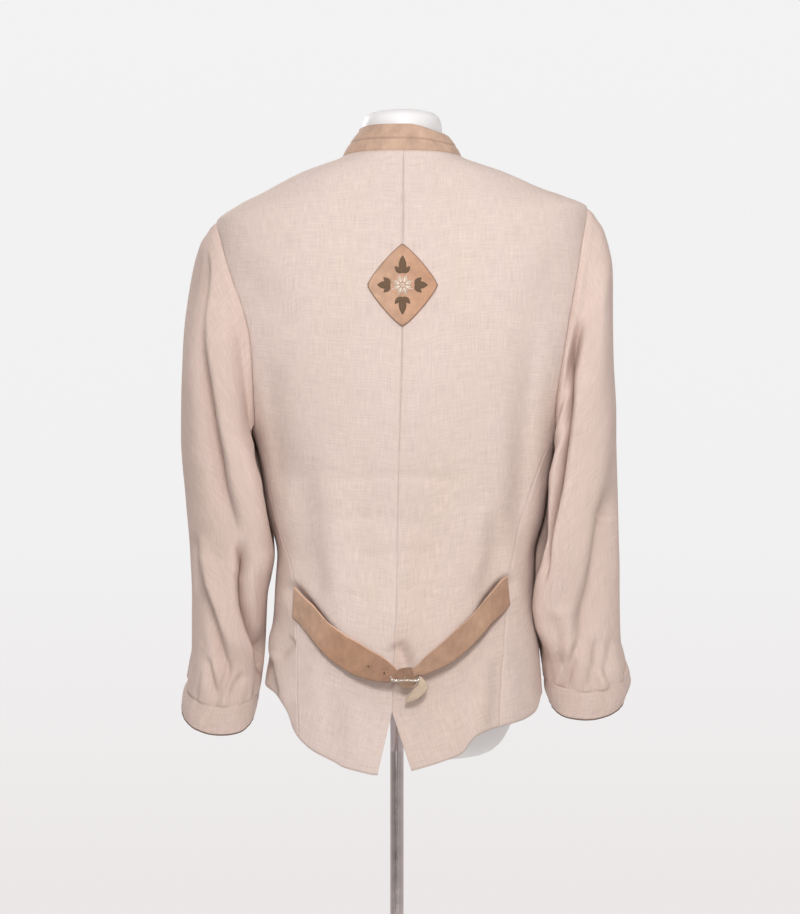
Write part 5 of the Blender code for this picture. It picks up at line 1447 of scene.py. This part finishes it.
# ------------------------------------------------------------------ buttons and buttonholes
def lathe(profile, around=48):
    """Turned solid from (radius, height) rows; rows on the axis become single points."""
    verts, rows = [], []
    for r, z in profile:
        if r < 1e-7:
            rows.append([len(verts)])
            verts.append((0.0, 0.0, z))
        else:
            rows.append(list(range(len(verts), len(verts) + around)))
            verts += [(r * math.cos(2 * math.pi * k / around), r * math.sin(2 * math.pi * k / around), z) for k in range(around)]
    faces = []
    for low, high in zip(rows, rows[1:]):
        for j in range(around):
            k = (j + 1) % around
            if len(low) == 1 and len(high) > 1:
                faces.append((low[0], high[k], high[j]))
            elif len(high) == 1 and len(low) > 1:
                faces.append((low[j], low[k], high[0]))
            elif len(low) > 1:
                faces.append((low[j], low[k], high[k], high[j]))
    return np.array(verts), faces


R, T = BUTTON_R, BUTTON_T
BUTTON_PROFILE = ((0, -T / 2), (R * 0.62, -T / 2), (R * 0.90, -T * 0.30), (R, 0.0), (R * 0.99, T * 0.28), (R * 0.93, T * 0.45), (R * 0.86, T * 0.50), (R * 0.78, T * 0.42),
                  (R * 0.68, T * 0.24), (R * 0.55, T * 0.16), (R * 0.30, T * 0.12), (0, T * 0.12))
for i in range(BUTTONS):
    z = BUTTON_TOP_Z + (BUTTON_FOOT_Z - BUTTON_TOP_Z) * i / (BUTTONS - 1)
    at = body_point(270.0, z)
    rise = body_point(270.0, z + 0.01) - body_point(270.0, z - 0.01)
    normal = Vector((0.0, -rise[2], rise[1])).normalized()
    turned = np.array(normal.to_track_quat("Z", "Y").to_matrix())
    middle = np.array([0.0, at[1], at[2]]) + np.array(normal) * (T / 2 + 0.0012)
    spin = 0.35 * math.sin(i * 2.1)

    def seated(v):
        return np.asarray(v) @ turned.T + middle

    verts, faces = lathe(BUTTON_PROFILE)
    parts = [(seated(verts), faces, 0)]
    holes = [(0.0019 * math.cos(spin + math.pi / 4 + math.pi / 2 * k), 0.0019 * math.sin(spin + math.pi / 4 + math.pi / 2 * k)) for k in range(4)]
    # each hole is a shallow dish coloured near black: painted shade for the hole's depth
    for hx, hy in holes:
        v, f = lathe(((0, T * 0.125), (0.00078, T * 0.125), (0.00092, T * 0.150), (0.0010, T * 0.118)), 14)
        parts.append((seated(v + [hx, hy, 0]), [q[::-1] for q in f], 1))
    for k in range(2):
        (ax, ay), (bx, by) = holes[k], holes[k + 2]
        t = np.linspace(0, 1, 8)
        line = np.stack([ax + (bx - ax) * t, ay + (by - ay) * t, T * 0.12 + 0.0007 * np.sin(math.pi * t) ** 0.6 + 0.0002 * k], 1)
        v, f = tube_mesh("", line, 0.00036, None, sides=6)
        parts.append((seated(v), f, 2))
    joined(f"button_{i + 1}", parts, [horn, hole_shade_look, stitch_look])

# worked buttonholes, level, from each button towards the lapped edge
hole_parts = []
for i in range(BUTTONS):
    z = BUTTON_TOP_Z + (BUTTON_FOOT_Z - BUTTON_TOP_Z) * i / (BUTTONS - 1)
    x = np.linspace(-0.0125, 0.0105, 24)
    for dz in (-0.0011, 0.0011):
        p = body_point(turn_at(x, z + dz, -1) + 360.0, z + dz)
        p = p + body_out(p) * (body_relief(p) + 0.0005)[..., None]
        hole_parts.append(tube_mesh("", p, 0.0008, None, sides=7))
buttonholes = joined("buttonholes", hole_parts, stitch_look)


# ------------------------------------------------------------------ dress form
def form_mesh(around=112, rows=120):
    t = tracks(FORM_COLUMNS, FORM)
    heights = np.unique(np.concatenate([np.linspace(FORM[0][0], FORM[-1][0], rows), [r[0] for r in FORM]]))
    turn = 2 * math.pi * np.arange(around) / around
    verts, faces = [], []
    for z in heights:
        a, back, front = (float(t[c](z)) for c in ("half_width", "back", "front"))
        p = 2 / (2.3 if z < 1.30 else 2.3 - 0.3 * float(smooth((z - 1.30) / 0.05)))
        x, s = a * power(np.cos(turn), p), power(np.sin(turn), p)
        verts.append(np.stack([x, np.where(s > 0, back, front) * s, np.full(around, z)], 1))
    n = len(heights)
    for i in range(n - 1):
        for j in range(around):
            k = (j + 1) % around
            faces.append((i * around + j, i * around + k, (i + 1) * around + k, (i + 1) * around + j))
    # closed ends
    base = n * around
    extra = [(0.0, 0.0, heights[0] - 0.0), (0.0, 0.0, heights[-1])]
    for j in range(around):
        k = (j + 1) % around
        faces += [(base, k, j), (base + 1, (n - 1) * around + j, (n - 1) * around + k)]
    return np.concatenate(verts + [np.array(extra)]), faces


form_verts, form_faces = form_mesh()
form = mesh_object("form_body", form_verts, form_faces, None, white_shell)
arch = [(NOTCH_HALF * math.cos(t), NOTCH_TOP - NOTCH_HALF + NOTCH_HALF * math.sin(t)) for t in np.linspace(0, math.pi, 41)]
outline = arch + [(-NOTCH_HALF * 1.25, 0.62), (NOTCH_HALF * 1.25, 0.62)]
m = len(outline)
cut_verts = [(x, y, z) for y in (-0.17, 0.17) for x, z in outline]
cut_faces = [tuple(range(m)), tuple(range(2 * m - 1, m - 1, -1))] + [(k, k + m, (k + 1) % m + m, (k + 1) % m) for k in range(m)]
cutter = mesh_object("notch_cutter", cut_verts, cut_faces, None, white_shell, shift=0.0)
cut = form.modifiers.new("notch", "BOOLEAN")
cut.operation, cut.object, cut.solver = "DIFFERENCE", cutter, "EXACT"
bpy.context.view_layer.update()
cut_form = bpy.data.meshes.new_from_object(form.evaluated_get(bpy.context.evaluated_depsgraph_get()))
form.modifiers.clear()
form.data = cut_form
form.data.set_sharp_from_angle(angle=math.radians(38))
bpy.data.objects.remove(cutter, do_unlink=True)
del made["notch_cutter"]


# ------------------------------------------------------------------ stand
def turned_piece(name, profile, look, around=96):
    v, f = lathe(profile, around)
    obj = mesh_object(name, v, f, None, look, shift=0.0)
    obj.data.set_sharp_from_angle(angle=math.radians(50))
    return obj


socket_low, socket_high = NOTCH_TOP - SOCKET_T - SOCKET_DROP, NOTCH_TOP - SOCKET_DROP
S = 0.0005
turned_piece("stand_socket", ((0, socket_low), (SOCKET_R - 0.0012, socket_low), (SOCKET_R - 0.0003, socket_low + 0.0003), (SOCKET_R, socket_low + 0.0012),
                              (SOCKET_R, socket_high - 0.0012), (SOCKET_R - 0.0003, socket_high - 0.0003), (SOCKET_R - 0.0012, socket_high), (0, socket_high)), chrome)
turned_piece("stand_pole", ((0, BASE_T + S), (POLE_R, BASE_T + S), (POLE_R, 0.30), (POLE_R, 0.55), (POLE_R, socket_low - S), (0, socket_low - S)), chrome)
boss_top, bore = BASE_T + BOSS_H, POLE_R + 0.0004
turned_piece("stand_boss", ((bore, boss_top - 0.0008), (bore, BASE_T + S), (BOSS_R - 0.0006, BASE_T + S), (BOSS_R, BASE_T + S + 0.0006), (BOSS_R, BASE_T + 0.014),
                            (BOSS_R - 0.0010, BASE_T + 0.0150), (BOSS_R - 0.0010, BASE_T + 0.0165), (BOSS_R, BASE_T + 0.0175), (BOSS_R, boss_top - 0.010),
                            (BOSS_R - 0.0012, boss_top - 0.004), (BOSS_R - 0.0040, boss_top - 0.0008), (BOSS_R - 0.0056, boss_top), (bore + 0.0006, boss_top),
                            (bore, boss_top - 0.0008)), chrome)
turned_piece("stand_base", ((0, 0), (BASE_R - 0.0030, 0), (BASE_R - 0.0008, 0.0006), (BASE_R, 0.0030), (BASE_R, BASE_T - 0.0036), (BASE_R - 0.0009, BASE_T - 0.0014),
                            (BASE_R - 0.0030, BASE_T - 0.0003), (BASE_R - 0.0060, BASE_T), (0.060, BASE_T), (0, BASE_T)), chrome, around=160)


# ------------------------------------------------------------------ hide the frame's parts that a piece replaces, and hang each piece on the root
for name, obj in made.items():
    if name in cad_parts:
        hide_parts(name)
    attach(obj, "root")

for name, obj in sheets.items():
    kind, _, tag = name.partition("_")


# ------------------------------------------------------------------ stage, light and camera
v, f = lathe(((2.45, -0.0009), (2.44, -0.0006), (1.2, -0.0006), (0, -0.0006)), 128)
floor = mesh_object("studio_floor", v, f, None, floor_look, shift=0.0)

world = bpy.data.worlds.new("studio")
bpy.context.scene.world = world
world.use_nodes = True
tree = world.node_tree
tree.nodes.clear()
out = tree.nodes.new("ShaderNodeOutputWorld")
ground = tree.nodes.new("ShaderNodeBackground")
ground.inputs["Strength"].default_value = 1.0
around = tree.nodes.new("ShaderNodeBackground")
around.inputs["Strength"].default_value = 1.0
# what the room gives back: darker behind the camera, lighter at the sides
spot = tree.nodes.new("ShaderNodeTexCoord")
split = tree.nodes.new("ShaderNodeSeparateXYZ")
tree.links.new(spot.outputs["Generated"], split.inputs[0])
level = tree.nodes.new("ShaderNodeMath")
level.operation = "MULTIPLY_ADD"
level.inputs[1].default_value, level.inputs[2].default_value = 2.5, 0.5
tree.links.new(split.outputs["Z"], level.inputs[0])
backdrop = tree.nodes.new("ShaderNodeValToRGB")
backdrop.color_ramp.elements.new(0.5)
for k, (at, tint) in enumerate(((0.10, (0.835, 0.802, 0.804)), (0.42, (0.885, 0.878, 0.879)), (0.90, (0.890, 0.890, 0.891)))):
    backdrop.color_ramp.elements[k].position, backdrop.color_ramp.elements[k].color = at, (*tint, 1)
tree.links.new(level.outputs[0], backdrop.inputs["Fac"])
tree.links.new(backdrop.outputs["Color"], ground.inputs["Color"])
angle = tree.nodes.new("ShaderNodeMath")
angle.operation = "ARCTAN2"
tree.links.new(split.outputs["X"], angle.inputs[0])
tree.links.new(split.outputs["Y"], angle.inputs[1])
share = tree.nodes.new("ShaderNodeMath")
share.operation = "MULTIPLY_ADD"
share.inputs[1].default_value, share.inputs[2].default_value = 1 / (2 * math.pi), 0.5
tree.links.new(angle.outputs[0], share.inputs[0])
room = tree.nodes.new("ShaderNodeValToRGB")
room.color_ramp.elements.remove(room.color_ramp.elements[1])
for k, (at, tone) in enumerate(((0.0, 0.52), (0.12, 0.46), (0.28, 0.40), (0.36, 0.30), (0.42, 0.36), (0.47, 0.24), (0.53, 0.15), (0.58, 0.13), (0.64, 0.26), (0.72, 0.26), (0.85, 0.44), (1.0, 0.52))):
    stop = room.color_ramp.elements[0] if k == 0 else room.color_ramp.elements.new(at)
    stop.position, stop.color = at, (tone, tone * 0.93, tone * 0.89, 1)
tree.links.new(share.outputs[0], room.inputs["Fac"])
tree.links.new(room.outputs["Color"], around.inputs["Color"])
path = tree.nodes.new("ShaderNodeLightPath")
mixed = tree.nodes.new("ShaderNodeMixShader")
tree.links.new(path.outputs["Is Camera Ray"], mixed.inputs[0])
tree.links.new(around.outputs[0], mixed.inputs[1])
tree.links.new(ground.outputs[0], mixed.inputs[2])
tree.links.new(mixed.outputs[0], out.inputs[0])


def area_light(name, place, aim, size, power_w, colour=(1, 1, 1), spread_deg=180.0):
    data = bpy.data.lights.new(name, "AREA")
    data.shape, data.size, data.energy, data.color, data.spread = "DISK", size, power_w, colour, math.radians(spread_deg)
    obj = bpy.data.objects.new(name, data)
    obj.location = place
    obj.rotation_euler = (Vector(aim) - Vector(place)).to_track_quat("-Z", "Y").to_euler()
    bpy.context.scene.collection.objects.link(obj)
    return obj


area_light("key", (-0.15, 3.35, 2.55), (0, 0.05, 1.0), 1.0, 70, (1.0, 0.998, 1.0))
area_light("beam", (-0.50, 3.30, 2.30), (-0.09, 0.05, 1.12), 0.5, 0.10, (1.0, 1.0, 1.0), 16.0)
area_light("fill", (0.85, 3.5, 1.05), (0.05, 0, 0.95), 1.6, 12)
area_light("fill_right", (-1.9, 3.2, 1.2), (0, 0, 0.95), 1.6, 7)
area_light("over", (0.15, 1.1, 3.4), (0, 0, 1.0), 1.4, 15, (0.97, 0.98, 1.0))
area_light("front_key", (1.9, -2.6, 2.3), (0, 0, 1.0), 1.6, 44)
area_light("front_fill", (-2.2, -2.4, 1.3), (0, 0, 1.0), 1.8, 12)

camera = bpy.data.objects.new("camera", bpy.data.cameras.new("camera"))
camera.location = (-0.0037, 3.115, 1.007)
camera.rotation_euler = (math.radians(90), 0, math.radians(180))
camera.data.lens, camera.data.sensor_width, camera.data.sensor_fit = 102.75, 36.0, "AUTO"
camera.data.clip_end = 100
bpy.context.scene.collection.objects.link(camera)
bpy.context.scene.camera = camera
bpy.context.scene.view_settings.view_transform = "Standard"
